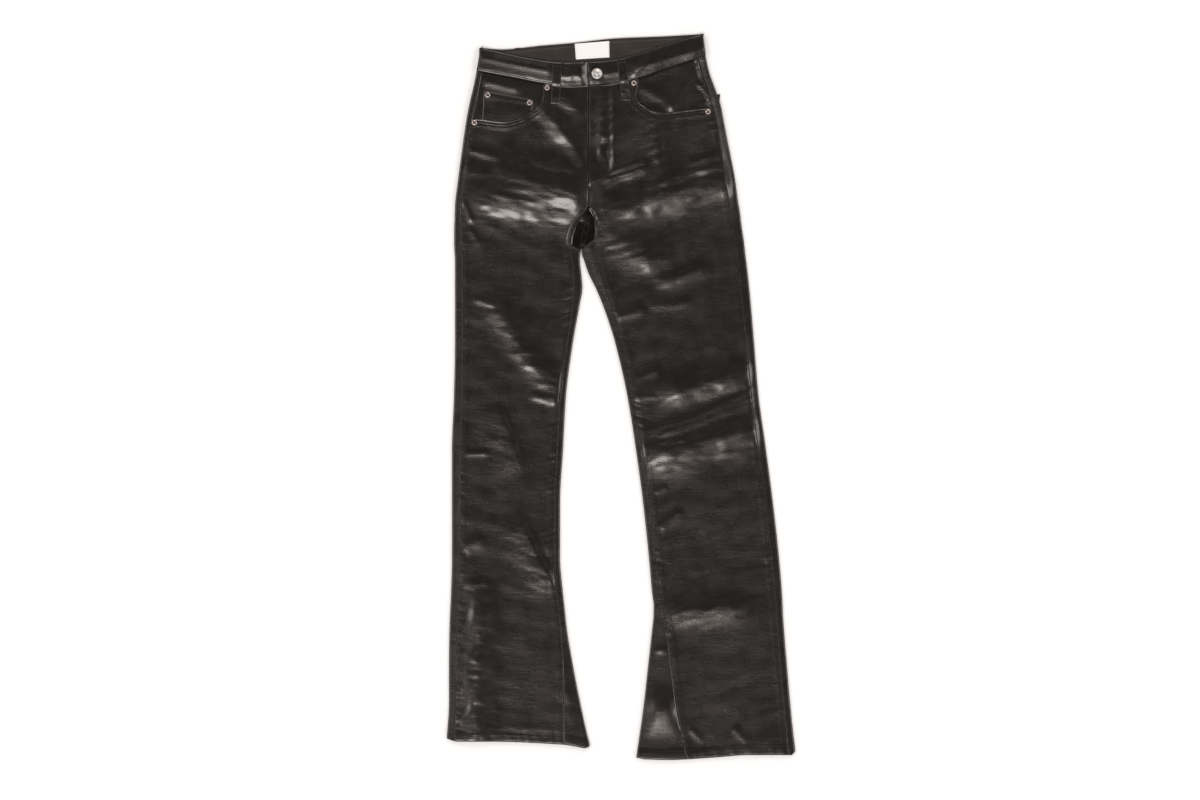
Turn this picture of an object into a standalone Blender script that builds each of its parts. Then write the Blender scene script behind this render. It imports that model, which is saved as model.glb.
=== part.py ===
"""Flared leather trousers laid flat: five-pocket cut, waistband on top, a godet in each inseam.

Lengths are in millimetres until a mesh is made. +X is the wearer's left, +Y runs from hem
to waist, +Z is up from the surface that the trousers lie on. "Right" and "left" are the
wearer's. The back pieces lie on the surface and roll over the edges to meet the fronts.
"""

import math
from collections import namedtuple

import bmesh
import bpy

MM = 0.001
NAME = "flared_trousers"

# ---------------------------------------------------------------- driving dimensions
LEATHER = 1.2            # wall of every panel
THIN_LEATHER = 1.0       # pocket facings and the coin pocket
BAND = 2.2               # folded waistband
SEAM = 0.3               # between two pieces sewn edge to edge
LAYER = 0.35             # between two pieces lying on each other
PATCH = 1.2              # back pockets and back belt loops, under the seat
LIFT = 1.5               # height of the seat, which lies on its patch pockets
LIFT_FROM = 294.0        # the seat rises to LIFT between these two heights along Y
LIFT_TO = 326.0
FOLD_DEPTH = 2.6         # how far a rolled edge reaches in before it lies flat
EDGE_SHARE = 0.85        # thickness at a rolled edge, as a share of the full thickness
EDGE_REACH = 20.0        # distance over which it grows to the full thickness
CROTCH_FOLD = 238.0      # lowest point of the crotch, where the seat rolls to the front
CROTCH_POINT = 309.0     # where the four leg seams meet, on the front
HIP = 399.0              # above this the rows fan out to the pockets and the yoke
HEM_TURN = 14.0          # depth of the turned hem
LOOP_WIDTH = 15.0
LOOP_THICK = 1.4
LOOP_BOW = 1.2           # how far a front belt loop stands off in the middle
RIVET_RADIUS = 4.6
BUTTON_RADIUS = 8.9
YOKE_AT_SIDE = 33.0      # depth of the yoke below the waistband
YOKE_AT_CENTRE = 62.0
CENTRE_FRONT = -53.5
GODET_HALF = 40.0        # width of the back half of a godet at the hem
GODET_FOLD = 2.2         # its rolled edge is a little tighter, to clear the back at its top
STEP_DOWN = 7.0          # length over which the right end of the band dips under the left

# The outline of each laid-out leg. Widths are read from hem to waist: the rolled outer edge,
# the side seam on top, the inside leg seam on top (the centre front above the crotch), and
# the rolled inner edge (the centre back seam where it comes round the crotch).
Row = namedtuple("Row", "y outer outseam inseam inner")
RIGHT_LEG = [
    Row(-572, -285.9, -273.4, -94.3, -50.8),
    Row(-500, -282.1, -271.4, -94.3, -67.2),
    Row(-441, -282.1, -270.6, -95.1, -78.7),
    Row(-382, -281.3, -269.0, -98.4, -88.6),
    Row(-340, -279.6, -267.3, -103.0, -93.2),
    Row(-323, -278.8, -266.5, -105.0, -95.1),
    Row(-264, -277.2, -264.9, -108.2, -100.0),
    Row(-175, -277.2, -264.0, -108.2, -100.0),
    Row(-87, -277.2, -263.2, -104.1, -95.1),
    Row(2, -273.9, -260.8, -99.2, -90.2),
    Row(90, -272.2, -260.3, -87.7, -78.7),
    Row(149, -272.2, -260.3, -79.5, -68.2),
    Row(179, -272.2, -260.8, -77.9, -63.3),
    Row(205, -272.2, -260.8, -77.9, -65.6),
    Row(225, -272.2, -260.8, -80.4, -67.4),
    Row(238, -273.1, -261.6, -82.8, -66.4),
    Row(254, -273.6, -262.4, -84.5, -63.1),
    Row(271, -273.6, -262.4, -81.2, -59.0),
    Row(287, -273.2, -262.1, -73.8, -55.8),
    Row(302, -272.6, -261.7, -62.3, -54.0),
    Row(309, -272.4, -261.6, -56.8, -53.7),
    Row(315, -272.2, -261.6, -53.5, -53.5),
    Row(356, -267.3, -256.7, -53.5, -53.5),
    Row(399, -261.6, -252.6, -53.5, -53.5),
    Row(451, -254.2, -246.8, -53.5, -53.5),
    Row(481, -248.5, -239.5, -53.5, -53.5),
    Row(513, -241.1, -233.5, -53.5, -53.5),
    Row(535, -236.8, -229.5, -53.5, -53.5),
    Row(573, -230.4, -223.0, -53.5, -53.5),
]
LEFT_LEG = [
    Row(-590, 285.9, 276.0, 106.0, 24.8),
    Row(-500, 277.2, 267.3, 90.2, 37.7),
    Row(-441, 272.2, 261.9, 82.5, 44.3),
    Row(-382, 267.3, 257.0, 75.4, 50.8),
    Row(-359, 265.7, 255.3, 70.5, 53.2),
    Row(-340, 264.9, 254.2, 66.5, 53.4),
    Row(-323, 264.0, 252.6, 63.1, 51.2),
    Row(-264, 259.1, 247.1, 56.6, 45.9),
    Row(-175, 249.3, 237.0, 46.7, 36.4),
    Row(-87, 237.8, 225.5, 34.4, 24.6),
    Row(2, 225.5, 214.0, 18.9, 10.3),
    Row(90, 218.1, 205.5, 0.0, -9.8),
    Row(139, 214.0, 200.4, -12.6, -25.4),
    Row(175, 210.7, 196.8, -24.9, -39.7),
    Row(205, 207.5, 193.5, -34.4, -54.1),
    Row(225, 205.0, 190.7, -38.7, -60.9),
    Row(238, 203.4, 189.1, -40.5, -64.8),
    Row(254, 201.7, 187.3, -41.0, -61.9),
    Row(271, 199.0, 184.7, -39.4, -57.4),
    Row(287, 196.8, 182.5, -40.5, -54.6),
    Row(302, 195.2, 180.4, -45.1, -52.9),
    Row(309, 193.9, 179.1, -49.6, -52.9),
    Row(315, 192.7, 177.9, -53.5, -53.5),
    Row(356, 187.0, 171.4, -53.5, -53.5),
    Row(399, 178.8, 164.8, -53.5, -53.5),
    Row(458, 167.3, 155.8, -53.5, -53.5),
    Row(479, 163.2, 149.2, -53.5, -53.5),
    Row(505, 154.2, 141.5, -53.5, -53.5),
    Row(533, 144.3, 132.2, -53.5, -53.5),
    Row(560, 138.6, 126.0, -53.5, -53.5),
    Row(595, 134.2, 124.0, -53.5, -53.5),
]

# The hem of each leg, from the outer edge to the inner one.
Place = namedtuple("Place", "x y")
RIGHT_HEM = [Place(-285.4, -560), Place(-268, -565), Place(-215, -565), Place(-95, -570),
             Place(-75, -573), Place(-58, -576), Place(-50.6, -572)]
LEFT_HEM = [Place(285.4, -581), Place(279, -587), Place(205, -587), Place(166, -590),
            Place(107, -594), Place(80, -595), Place(39, -594), Place(24.6, -591)]

# Upper edges of the fronts: the scoop of the pocket from the side seam, then the waistband.
RIGHT_SCOOP = [Place(-245.4, 455.5), Place(-235.3, 455.6), Place(-209.9, 452.3),
               Place(-191.2, 450.8), Place(-169.6, 455.6), Place(-153.5, 464.1),
               Place(-141.2, 471.7), Place(-131.9, 481.0), Place(-129.1, 490.4),
               Place(-127.5, 500.9), Place(-127.0, 513.6)]
LEFT_SCOOP = [Place(150.2, 474.7), Place(138.7, 473.3), Place(105.0, 469.5),
              Place(71.0, 465.8), Place(50.3, 469.0), Place(37.7, 477.2),
              Place(28.4, 484.8), Place(24.5, 496.1), Place(27.5, 508.4),
              Place(29.0, 522.2)]

# Front waistband: lower seam and upper edge, each from the side to the centre front.
RIGHT_BAND_SEAM = [Place(-236.6, 534.5), Place(-182, 524.4), Place(-127, 513.9),
                   Place(-83.6, 508.9), Place(-54, 510.2)]
RIGHT_BAND_TOP = [Place(-230.4, 572.4), Place(-193.5, 564.2), Place(-149.2, 554.8),
                  Place(-108.2, 549.2), Place(-83.6, 548.4), Place(-55, 548.7)]
LEFT_BAND_SEAM = [Place(138.8, 559.2), Place(113.2, 551), Place(72.2, 537.9),
                  Place(29.0, 522.6), Place(-1.6, 515.3), Place(-34.4, 512), Place(-53, 511.2)]
LEFT_BAND_TOP = [Place(134.2, 594.7), Place(96.8, 584.7), Place(64, 574), Place(31.2, 563.3),
                 Place(-8.9, 553.3), Place(-34.4, 550.2), Place(-54.5, 549)]
# Back waistband: lower seam and upper edge, from the right side to the left side.
BACK_BAND_SEAM = [Place(-237, 533.5), Place(139.5, 556.7)]
BACK_BAND_TOP = [Place(-230.4, 572.4), Place(-195.2, 569.6), Place(-132.8, 575.6),
                 Place(-75.4, 580.6), Place(-3.3, 588.1), Place(64, 590.8),
                 Place(134.2, 594.7)]
CENTRE_BACK = [Place(-65.6, 238), Place(-57.5, 275), Place(-50.5, 325), Place(-48, 400),
               Place(-47, 595)]

# Full thickness of the laid-flat garment, outside to outside, from hem to waist.
Thick = namedtuple("Thick", "y height")
THICKNESS = [Thick(-600, 5.6), Thick(-540, 5.4), Thick(0, 5.4), Thick(200, 5.6),
             Thick(290, 6.1), Thick(340, 7.4), Thick(400, 7.7), Thick(440, 8.8),
             Thick(600, 9.1)]

# The largest folds: each a soft ridge between two places, with its height and half width.
Fold = namedtuple("Fold", "x1 y1 x2 y2 height width")
FOLDS = [
    Fold(-131, 446, -62, 350, 1.6, 13),
    Fold(-205, 322, -78, 318, 2.4, 24),
    Fold(-238, 398, -168, 378, 1.4, 12),
    Fold(-240, 356, -149, 336, 1.4, 12),
    Fold(-232, 159, -113, -8, 2.4, 20),
    Fold(-205, -25, -160, -122, 2.2, 16),
    Fold(-178, -66, -126, -214, 2.2, 18),
    Fold(-166, -202, -122, -290, 1.8, 15),
    Fold(-242, -322, -250, -540, 2.4, 14),
    Fold(-34, 338, 48, 368, 1.8, 13),
    Fold(2, 305, 152, 343, 2.4, 20),
    Fold(-14, 276, 31, 192, 2.2, 17),
    Fold(56, 172, 126, 210, 2.0, 14),
    Fold(28, -48, 192, 20, 3.0, 18),
    Fold(50, -108, 204, -60, 2.6, 17),
    Fold(62, -206, 118, -190, 1.6, 12),
    Fold(80, -372, 203, -362, 1.6, 12),
]

Rivet = namedtuple("Rivet", "name x y")
FRONT_RIVETS = [Rivet("rivet_right_side", -240.2, 449.6),
                Rivet("rivet_right_waist", -121.0, 506.6),
                Rivet("rivet_left_waist", 21.2, 514.3),
                Rivet("rivet_left_side", 142.6, 467.4)]
COIN_RIVETS = [Rivet("rivet_coin_outer", -218.6, 494.9),
               Rivet("rivet_coin_inner", -149.9, 482.3)]
BUTTON = Place(-39.4, 529.7)

Loop = namedtuple("Loop", "name x1 y1 x2 y2")
FRONT_LOOPS = [Loop("belt_loop_front_right", -104.4, 547.0, -107.6, 480.0),
               Loop("belt_loop_front_left", 0.7, 553.4, 8.6, 485.4)]
BACK_LOOPS = [Loop("belt_loop_back_right", -166, 572.5, -168, 517.5),
              Loop("belt_loop_back_centre", -47, 582.0, -47, 527.0),
              Loop("belt_loop_back_left", 66, 589.0, 70, 534.0)]

# Back pockets seen through the cloth: five corners each, starting at the upper outer one.
RIGHT_BACK_POCKET = [Place(-234, 489), Place(-84, 482), Place(-93, 357),
                     Place(-158, 331), Place(-222, 357)]
LEFT_BACK_POCKET = [Place(162.4, 496), Place(12, 488), Place(21, 362),
                    Place(88, 337), Place(153, 364)]
COIN_POCKET = [Place(-224.5, 502.0), Place(-144.0, 487.4), Place(-148.0, 441.0),
               Place(-228.0, 441.0)]
LABEL = [Place(-75.8, 579.0), Place(-19.4, 583.4), Place(-18.9, 556.8), Place(-73.8, 553.4)]
LABEL_THICK = 0.6
FACING_HEM = 431.0       # lower edge of a pocket facing, under the front
FACING_DIP = 10.0        # distance from the side seam in which a facing sinks to its place
FACING_REACH = 12.0      # how far a facing passes under the front beyond the scoop
UNDERLAP = 30.0          # right end of the waistband that lies under the left end

UNDER_COLUMNS = 8        # cloth cells across the back of a leg
FRONT_COLUMNS = 11       # cells across a front, of which SCOOP_COLUMNS meet the pocket
SCOOP_COLUMNS = 7
FRONT_CELL = 30.0        # longest cell along a front
HIP_ROWS = 4             # rows of cells between the hip and the waist
YOKE_ROWS = 2
FACING_COLUMNS = 6
FACING_ROWS = 4
COIN_CELLS = 4
BAND_CELLS = 9           # cells along each front half of the waistband
BACK_BAND_CELLS = 12
LOOP_CELLS = 6

# colour, roughness, metallic
BLACK_LEATHER = ("black_leather", (0.022, 0.019, 0.018), 0.32, 0.0)
NICKEL = ("nickel", (0.62, 0.58, 0.54), 0.25, 1.0)
WHITE_TAPE = ("white_tape", (0.86, 0.85, 0.83), 0.8, 0.0)


# ---------------------------------------------------------------- curves and heights
def soft_step(value):
    """0 below 0, 1 above 1, smooth between."""
    value = min(max(value, 0.0), 1.0)
    return value * value * (3.0 - 2.0 * value)


def between(pairs, at):
    """The value at a place, on straight lines through sorted (place, value) pairs."""
    if at <= pairs[0][0]:
        return pairs[0][1]
    for (a, low), (b, high) in zip(pairs, pairs[1:]):
        if at <= b:
            return low + (high - low) * (at - a) / (b - a)
    return pairs[-1][1]


def edge(leg, column, y):
    """One column of a leg's outline at height y."""
    return between([(row.y, getattr(row, column)) for row in leg.rows], y)


def along(line, share):
    """The place at a share of the length of a line through places."""
    lengths = [math.dist(a, b) for a, b in zip(line, line[1:])]
    left = share * sum(lengths)
    for (a, b), length in zip(zip(line, line[1:]), lengths):
        if left <= length:
            part = left / length
            return Place(a.x + (b.x - a.x) * part, a.y + (b.y - a.y) * part)
        left -= length
    return line[-1]


def height_on(line, x):
    """The y of a line through places where it passes x."""
    return between(sorted((place.x, place.y) for place in line), x)


def mix(a, b, share):
    """The place between two places."""
    return Place(a[0] + (b[0] - a[0]) * share, a[1] + (b[1] - a[1]) * share)


Leg = namedtuple("Leg", "name side godet_top rows hem scoop band_seam band_top back_pocket")
RIGHT = Leg("right", -1, -323, RIGHT_LEG, RIGHT_HEM, RIGHT_SCOOP, RIGHT_BAND_SEAM,
            RIGHT_BAND_TOP, RIGHT_BACK_POCKET)
LEFT = Leg("left", 1, -340, LEFT_LEG, LEFT_HEM, LEFT_SCOOP, LEFT_BAND_SEAM, LEFT_BAND_TOP,
           LEFT_BACK_POCKET)


def leg_at(x, y):
    """The leg that a place belongs to."""
    middle = between([(place.y, place.x) for place in CENTRE_BACK], y)
    return RIGHT if x < middle else LEFT


def underside(y):
    """Height of the lower skin: on the surface, or on the back pockets at the seat."""
    return LIFT * soft_step((y - LIFT_FROM) / (LIFT_TO - LIFT_FROM))


def edge_distance(x, y):
    """Distance to the nearest rolled edge."""
    leg = leg_at(x, y)
    outer = abs(x - edge(leg, "outer", y))
    inner = abs(x - edge(leg, "inner", y)) + max(0.0, y - CROTCH_FOLD) * 0.8
    return min(outer, inner)


def fold_rise(x, y):
    """Height that the folds add."""
    rise = 0.0
    for fold in FOLDS:
        run = (fold.x2 - fold.x1, fold.y2 - fold.y1)
        length = math.hypot(*run)
        share = ((x - fold.x1) * run[0] + (y - fold.y1) * run[1]) / length ** 2
        away = abs((x - fold.x1) * run[1] - (y - fold.y1) * run[0]) / length
        ends = soft_step(share / 0.2 + 0.5) * soft_step((1.0 - share) / 0.2 + 0.5)
        rise += fold.height * ends * math.exp(-(away / fold.width) ** 2)
    return rise


def topside(x, y):
    """Height of the upper skin of the fronts."""
    low = underside(y)
    away = edge_distance(x, y)
    share = EDGE_SHARE + (1.0 - EDGE_SHARE) * soft_step(away / EDGE_REACH)
    full = between(THICKNESS, y) - low
    return low + full * share + fold_rise(x, y) * soft_step((away - 4.0) / 16.0)


# ---------------------------------------------------------------- making meshes
def material(name, look):
    """A plain principled material for one piece."""
    kind, colour, roughness, metallic = look
    made = bpy.data.materials.new(name + "_" + kind)
    made.use_nodes = True
    shader = made.node_tree.nodes["Principled BSDF"]
    shader.inputs["Base Color"].default_value = (*colour, 1.0)
    shader.inputs["Roughness"].default_value = roughness
    shader.inputs["Metallic"].default_value = metallic
    return made


def add_object(name, mesh, look):
    """One named piece in the garment's collection, with its own material."""
    piece = bpy.data.objects.new(name, mesh)
    mesh.materials.append(material(name, look))
    bpy.data.collections[NAME].objects.link(piece)
    return piece


def cloth(name, patches, wall, flip=False, look=BLACK_LEATHER):
    """A wall of cloth, thickened inwards from its outer skin.

    The skin is one or more patches that share the points along their common edges. A patch
    is a list of rows of (x, y, z), and each row of a patch has the same number of points.
    """
    skin = bmesh.new()
    for rows in patches:
        points = [[skin.verts.new([value * MM for value in point]) for point in row]
                  for row in rows]
        for low, high in zip(points, points[1:]):
            for column in range(len(low) - 1):
                corners = [low[column], low[column + 1], high[column + 1], high[column]]
                skin.faces.new(reversed(corners) if flip else corners)
    bmesh.ops.remove_doubles(skin, verts=skin.verts, dist=0.00001)
    mesh = bpy.data.meshes.new(name)
    skin.to_mesh(mesh)
    skin.free()
    mesh.shade_smooth()
    piece = add_object(name, mesh, look)
    solid = piece.modifiers.new("wall", "SOLIDIFY")
    solid.thickness = wall * MM
    solid.offset = -1.0
    solid.use_even_offset = True
    return piece


def plate(name, corners, low, thick, look, soften):
    """A flat patch from its corners, lying at height low, with softened edges."""
    outline = bpy.data.curves.new(name + "_outline", "CURVE")
    outline.dimensions = "2D"
    outline.fill_mode = "BOTH"
    outline.extrude = thick * MM / 2.0
    spline = outline.splines.new("POLY")
    spline.points.add(len(corners) - 1)
    for point, corner in zip(spline.points, corners):
        point.co = (corner.x * MM, corner.y * MM, 0.0, 1.0)
    spline.use_cyclic_u = True
    guide = bpy.data.objects.new(name + "_outline", outline)
    bpy.data.collections[NAME].objects.link(guide)
    guide.location.z = (low + thick / 2.0) * MM
    bpy.context.view_layer.update()
    shown = guide.evaluated_get(bpy.context.evaluated_depsgraph_get())
    mesh = bpy.data.meshes.new_from_object(shown)
    place = guide.matrix_world.copy()
    bpy.data.objects.remove(guide)
    solid = bmesh.new()
    solid.from_mesh(mesh)
    bmesh.ops.remove_doubles(solid, verts=solid.verts, dist=0.00001)
    solid.to_mesh(mesh)
    solid.free()
    piece = add_object(name, mesh, look)
    piece.matrix_world = place
    bevel = piece.modifiers.new("soft_edge", "BEVEL")
    bevel.width = soften * MM
    bevel.limit_method = "ANGLE"
    return piece


def turned(name, profile, place, look, segments):
    """A round piece turned from (radius, height) pairs, from its top centre to its foot."""
    line = bmesh.new()
    verts = [line.verts.new((radius * MM, 0.0, height * MM)) for radius, height in profile]
    for a, b in zip(verts, verts[1:]):
        line.edges.new((a, b))
    mesh = bpy.data.meshes.new(name)
    line.to_mesh(mesh)
    line.free()
    piece = add_object(name, mesh, look)
    piece.location = [value * MM for value in place]
    screw = piece.modifiers.new("turn", "SCREW")
    screw.steps = segments
    screw.render_steps = segments
    screw.use_merge_vertices = True
    screw.merge_threshold = 0.00001
    return piece


# ---------------------------------------------------------------- sections of the garment
def on_top(x, y, down=0.0):
    """A point on the upper skin, or some way below it."""
    return (x, y, topside(x, y) - down)


def on_underside(x, y):
    """A point on the lower skin."""
    return (x, y, underside(y))


def seam_gap(leg, y):
    """Half the gap at the side seam, which is wider where the rows fan out."""
    return SEAM if y > HIP + 1.0 else SEAM / 2.0


def rolled_edge(leg, column, y, top_y=None, depth=FOLD_DEPTH):
    """The four points of a rolled edge, from the lower skin up to the upper one."""
    inward = -leg.side if column == "outer" else leg.side
    top_y = y if top_y is None else top_y
    low_x = edge(leg, column, y)
    top_x = edge(leg, column, top_y)
    low = underside(y)
    high = topside(top_x + inward * depth, top_y)
    quarter = (high - low) / 4.0
    return [(low_x + inward * depth, y, low),
            (low_x, y + (top_y - y) / 3.0, low + quarter),
            (top_x, y + (top_y - y) / 1.5, high - quarter),
            (top_x + inward * depth, top_y, high)]


def flap(leg, column, seam, y):
    """The strip on top from a rolled edge to a seam: its middle and its far edge."""
    inward = -leg.side if column == "outer" else leg.side
    start = edge(leg, column, y) + inward * FOLD_DEPTH
    end = edge(leg, seam, y) - inward * seam_gap(leg, y)
    return [on_top((start + end) / 2.0, y), on_top(end, y)]


def outer_strip(leg, y, top=None):
    """Side seam, flap and rolled outer edge, as one row that ends on the lower skin.

    top gives the height along Y at each x of the upper skin, where the row isn't level.
    """
    strip = flap(leg, "outer", "outseam", y)[::-1]
    top_y = y
    if top:
        strip = [on_top(x, top(x)) for x, _, _ in strip]
        top_y = top(edge(leg, "outer", y) - leg.side * FOLD_DEPTH)
    return strip + rolled_edge(leg, "outer", y, top_y)[::-1]


def inner_strip(leg, y):
    """Rolled inner edge and flap, as one row that starts on the lower skin."""
    return rolled_edge(leg, "inner", y) + flap(leg, "inner", "inseam", y)


def centre_back(leg, y):
    """The centre back seam on the underside, at one leg's side of it."""
    middle = between([(place.y, place.x) for place in CENTRE_BACK], y)
    return middle + leg.side * SEAM / 2.0


def godet_back_seam(leg, y):
    """The seam of the godet on the underside: it parts from the fold towards the hem."""
    share = (leg.godet_top - y) / (leg.godet_top - leg.rows[0].y)
    reach = FOLD_DEPTH + GODET_HALF * max(0.0, share)
    return edge(leg, "inner", y) + leg.side * reach


def under_row(leg, y):
    """One level row across the underside of a leg."""
    start = rolled_edge(leg, "outer", y)[0][0]
    if y < leg.godet_top:
        end = godet_back_seam(leg, y) + leg.side * SEAM / 2.0
    elif y <= CROTCH_FOLD:
        end = rolled_edge(leg, "inner", y)[0][0]
    else:
        end = centre_back(leg, y)
    return [on_underside(start + (end - start) * column / UNDER_COLUMNS, y)
            for column in range(UNDER_COLUMNS + 1)]


def band_corner(leg):
    """Where the back seam of the waistband meets the rolled outer edge, along X."""
    end = BACK_BAND_SEAM[0] if leg.side < 0 else BACK_BAND_SEAM[-1]
    return edge(leg, "outer", end.y) - leg.side * FOLD_DEPTH


def yoke_seam(leg, share):
    """The height of the yoke seam at a share of the way from the side to the centre."""
    side = height_on(BACK_BAND_SEAM, band_corner(leg)) - YOKE_AT_SIDE
    centre = height_on(BACK_BAND_SEAM, CENTRE_BACK[-1].x) - YOKE_AT_CENTRE
    return side + (centre - side) * share


def seat_row(leg, share, low, high):
    """One row across the seat, at a share of the way from one line to a higher one.

    low and high give the height of their line at a share of the way to the centre.
    """
    row = []
    for column in range(UNDER_COLUMNS + 1):
        part = column / UNDER_COLUMNS
        y = low(part) + (high(part) - low(part)) * share
        start = edge(leg, "outer", y) - leg.side * FOLD_DEPTH
        row.append(on_underside(start + (centre_back(leg, y) - start) * part, y))
    return row


def at_hem(leg, rows, up):
    """A row moved onto the hem line, or some way up from it."""
    return [(x, height_on(leg.hem, x) + up, z) for x, _, z in rows]


def hem_rows(leg, section):
    """The two rows of the turned hem, from a function that gives a level row."""
    level = leg.rows[0].y
    return [at_hem(leg, section(level), 0.0), at_hem(leg, section(level + HEM_TURN), HEM_TURN)]


def levels_of(leg, low, high):
    """The heights of the outline table from low to high, both included."""
    return [row.y for row in leg.rows if low - 0.1 <= row.y <= high + 0.1]


# ---------------------------------------------------------------- leg panels
def back_panel(leg):
    """A back: the underside of a leg up to the yoke, rolled round to the seams on top."""
    levels = levels_of(leg, leg.rows[1].y, HIP)
    under = hem_rows(leg, lambda y: under_row(leg, y))
    under += [under_row(leg, y) for y in levels]
    outer = hem_rows(leg, lambda y: outer_strip(leg, y))
    outer += [outer_strip(leg, y) for y in levels]
    for step in range(1, HIP_ROWS + 1):
        row = seat_row(leg, step / HIP_ROWS, lambda part: HIP,
                       lambda part: yoke_seam(leg, part) - SEAM / 2.0)
        under.append(row)
        outer.append(outer_strip(leg, row[0][1]))
    inner = [inner_strip(leg, y) for y in levels_of(leg, leg.godet_top, CROTCH_FOLD)]
    crotch = [inner[-1][3:]]
    for y in levels_of(leg, CROTCH_FOLD + 1.0, CROTCH_POINT):
        centre = edge(leg, "inner", y) + leg.side * SEAM / 2.0
        seam = edge(leg, "inseam", y) - leg.side * SEAM / 2.0
        crotch.append([on_top(centre, y), on_top((centre + seam) / 2.0, y), on_top(seam, y)])
    cloth("back_" + leg.name, [under, outer, inner, crotch], LEATHER, flip=leg.side < 0)


def front_row(leg, y):
    """One level row across a front, from the side seam to the inside leg or the centre."""
    start = edge(leg, "outseam", y) - leg.side * seam_gap(leg, y)
    end = edge(leg, "inseam", y) + leg.side * SEAM / 2.0
    return [on_top(start + (end - start) * column / FRONT_COLUMNS, y)
            for column in range(FRONT_COLUMNS + 1)]


def split_to(places, cells):
    """Places along a line, with the longest stretch halved until there are enough."""
    places = list(places)
    while len(places) - 1 < cells:
        spans = [math.dist(a, b) for a, b in zip(places, places[1:])]
        widest = spans.index(max(spans))
        places.insert(widest + 1, mix(places[widest], places[widest + 1], 0.5))
    return places


def front_top(leg):
    """The upper edge of a front: the scoop of the pocket, then the waistband seam."""
    scoop = [along(leg.scoop, column / SCOOP_COLUMNS) for column in range(SCOOP_COLUMNS + 1)]
    corner = leg.scoop[-1]
    seam = [place for place in leg.band_seam if (corner.x - place.x) * leg.side > 1.0]
    seam[-1] = Place(CENTRE_FRONT + leg.side * SEAM / 2.0, seam[-1].y)
    line = scoop + split_to([corner] + seam, FRONT_COLUMNS - SCOOP_COLUMNS)[1:]
    return [Place(place.x, place.y - SEAM / 2.0) for place in line]


def front_panel(leg):
    """A front, from the hem to the scoop of its pocket and the waistband."""
    levels = []
    for low, high in zip(leg.rows[1:], leg.rows[2:]):
        cells = math.ceil((high.y - low.y) / FRONT_CELL)
        levels += [low.y + (high.y - low.y) * cell / cells for cell in range(cells)]
    levels = [y for y in levels if y < HIP] + [HIP]
    rows = hem_rows(leg, lambda y: front_row(leg, y))
    rows += [front_row(leg, y) for y in levels]
    hip = [Place(x, y) for x, y, _ in rows[-1]]
    top = front_top(leg)
    for step in range(1, HIP_ROWS + 1):
        places = [mix(a, b, step / HIP_ROWS) for a, b in zip(hip, top)]
        side = places[0].y
        places[0] = Place(edge(leg, "outseam", side) - leg.side * seam_gap(leg, side), side)
        rows.append([on_top(place.x, place.y) for place in places])
    cloth("front_" + leg.name, [rows], LEATHER, flip=leg.side > 0)


def godet(leg):
    """A wedge let into the inside leg seam, folded in half along the edge of the leg."""
    def section(y):
        roll = rolled_edge(leg, "inner", y, depth=GODET_FOLD)[::-1]
        seam = edge(leg, "inseam", y) - leg.side * SEAM / 2.0
        back = godet_back_seam(leg, y) - leg.side * SEAM / 2.0
        if y > leg.godet_top - 2.0 * SEAM:
            back = roll[-1][0]
        top = [on_top(seam, y), on_top((seam + roll[0][0]) / 2.0, y)]
        low = [on_underside((back + roll[-1][0]) / 2.0, y), on_underside(back, y)]
        return top + roll + low

    rows = hem_rows(leg, section)
    rows += [section(y) for y in levels_of(leg, leg.rows[1].y, leg.godet_top - 1.0)]
    rows.append(section(leg.godet_top - 1.5 * SEAM))
    cloth("godet_" + leg.name, [rows], LEATHER, flip=leg.side > 0)


def yoke(leg):
    """A yoke: from the seat seam to the waistband, rolled over the side to the front."""
    def low(part):
        return yoke_seam(leg, part) + SEAM / 2.0

    def high(part):
        corner = band_corner(leg)
        return height_on(BACK_BAND_SEAM, mix((corner, 0), CENTRE_BACK[-1], part).x) - SEAM

    under = []
    strip = []
    for step in range(YOKE_ROWS + 1):
        share = step / YOKE_ROWS
        row = seat_row(leg, share, low, high)
        under.append(row)
        strip.append(outer_strip(leg, row[0][1], lambda x: low(0.0) + share
                                 * (height_on(leg.band_seam, x) - SEAM - low(0.0))))
    cloth("yoke_" + leg.name, [under, strip], LEATHER, flip=leg.side < 0)


# ---------------------------------------------------------------- pockets
def facing_drop(leg, x, y):
    """How far a pocket facing lies below the upper skin: deeper under the coin pocket."""
    away = abs(x - edge(leg, "outseam", y))
    shallow = LEATHER + LAYER
    deep = shallow + THIN_LEATHER + LAYER
    return shallow + (deep - shallow) * soft_step((away - 1.0) / (FACING_DIP - 2.0))


def pocket_facing(leg):
    """The facing that shows inside the scoop, from the side seam to the waistband."""
    corner = leg.scoop[-1]
    far = corner.x - leg.side * FACING_REACH
    seam = [place for place in leg.band_seam[1:] if (place.x - far) * leg.side > 1.0]
    side_x = edge(leg, "outseam", leg.band_seam[0].y) - leg.side * SEAM
    inside_x = side_x - leg.side * FACING_DIP
    line = [side_x, inside_x] + [place.x for place in seam] + [far]
    top = split_to([Place(x, height_on(leg.band_seam, x) - SEAM) for x in line],
                   FACING_COLUMNS)
    rows = []
    for step in range(FACING_ROWS + 1):
        share = step / FACING_ROWS
        row = []
        for place in top:
            y = FACING_HEM + (place.y - FACING_HEM) * share
            start = edge(leg, "outseam", y) - leg.side * SEAM
            x = start + (far - start) * (place.x - side_x) / (far - side_x)
            row.append(on_top(x, y, facing_drop(leg, x, y)))
        rows.append(row)
    cloth("pocket_facing_" + leg.name, [rows], THIN_LEATHER, flip=leg.side > 0)


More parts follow.
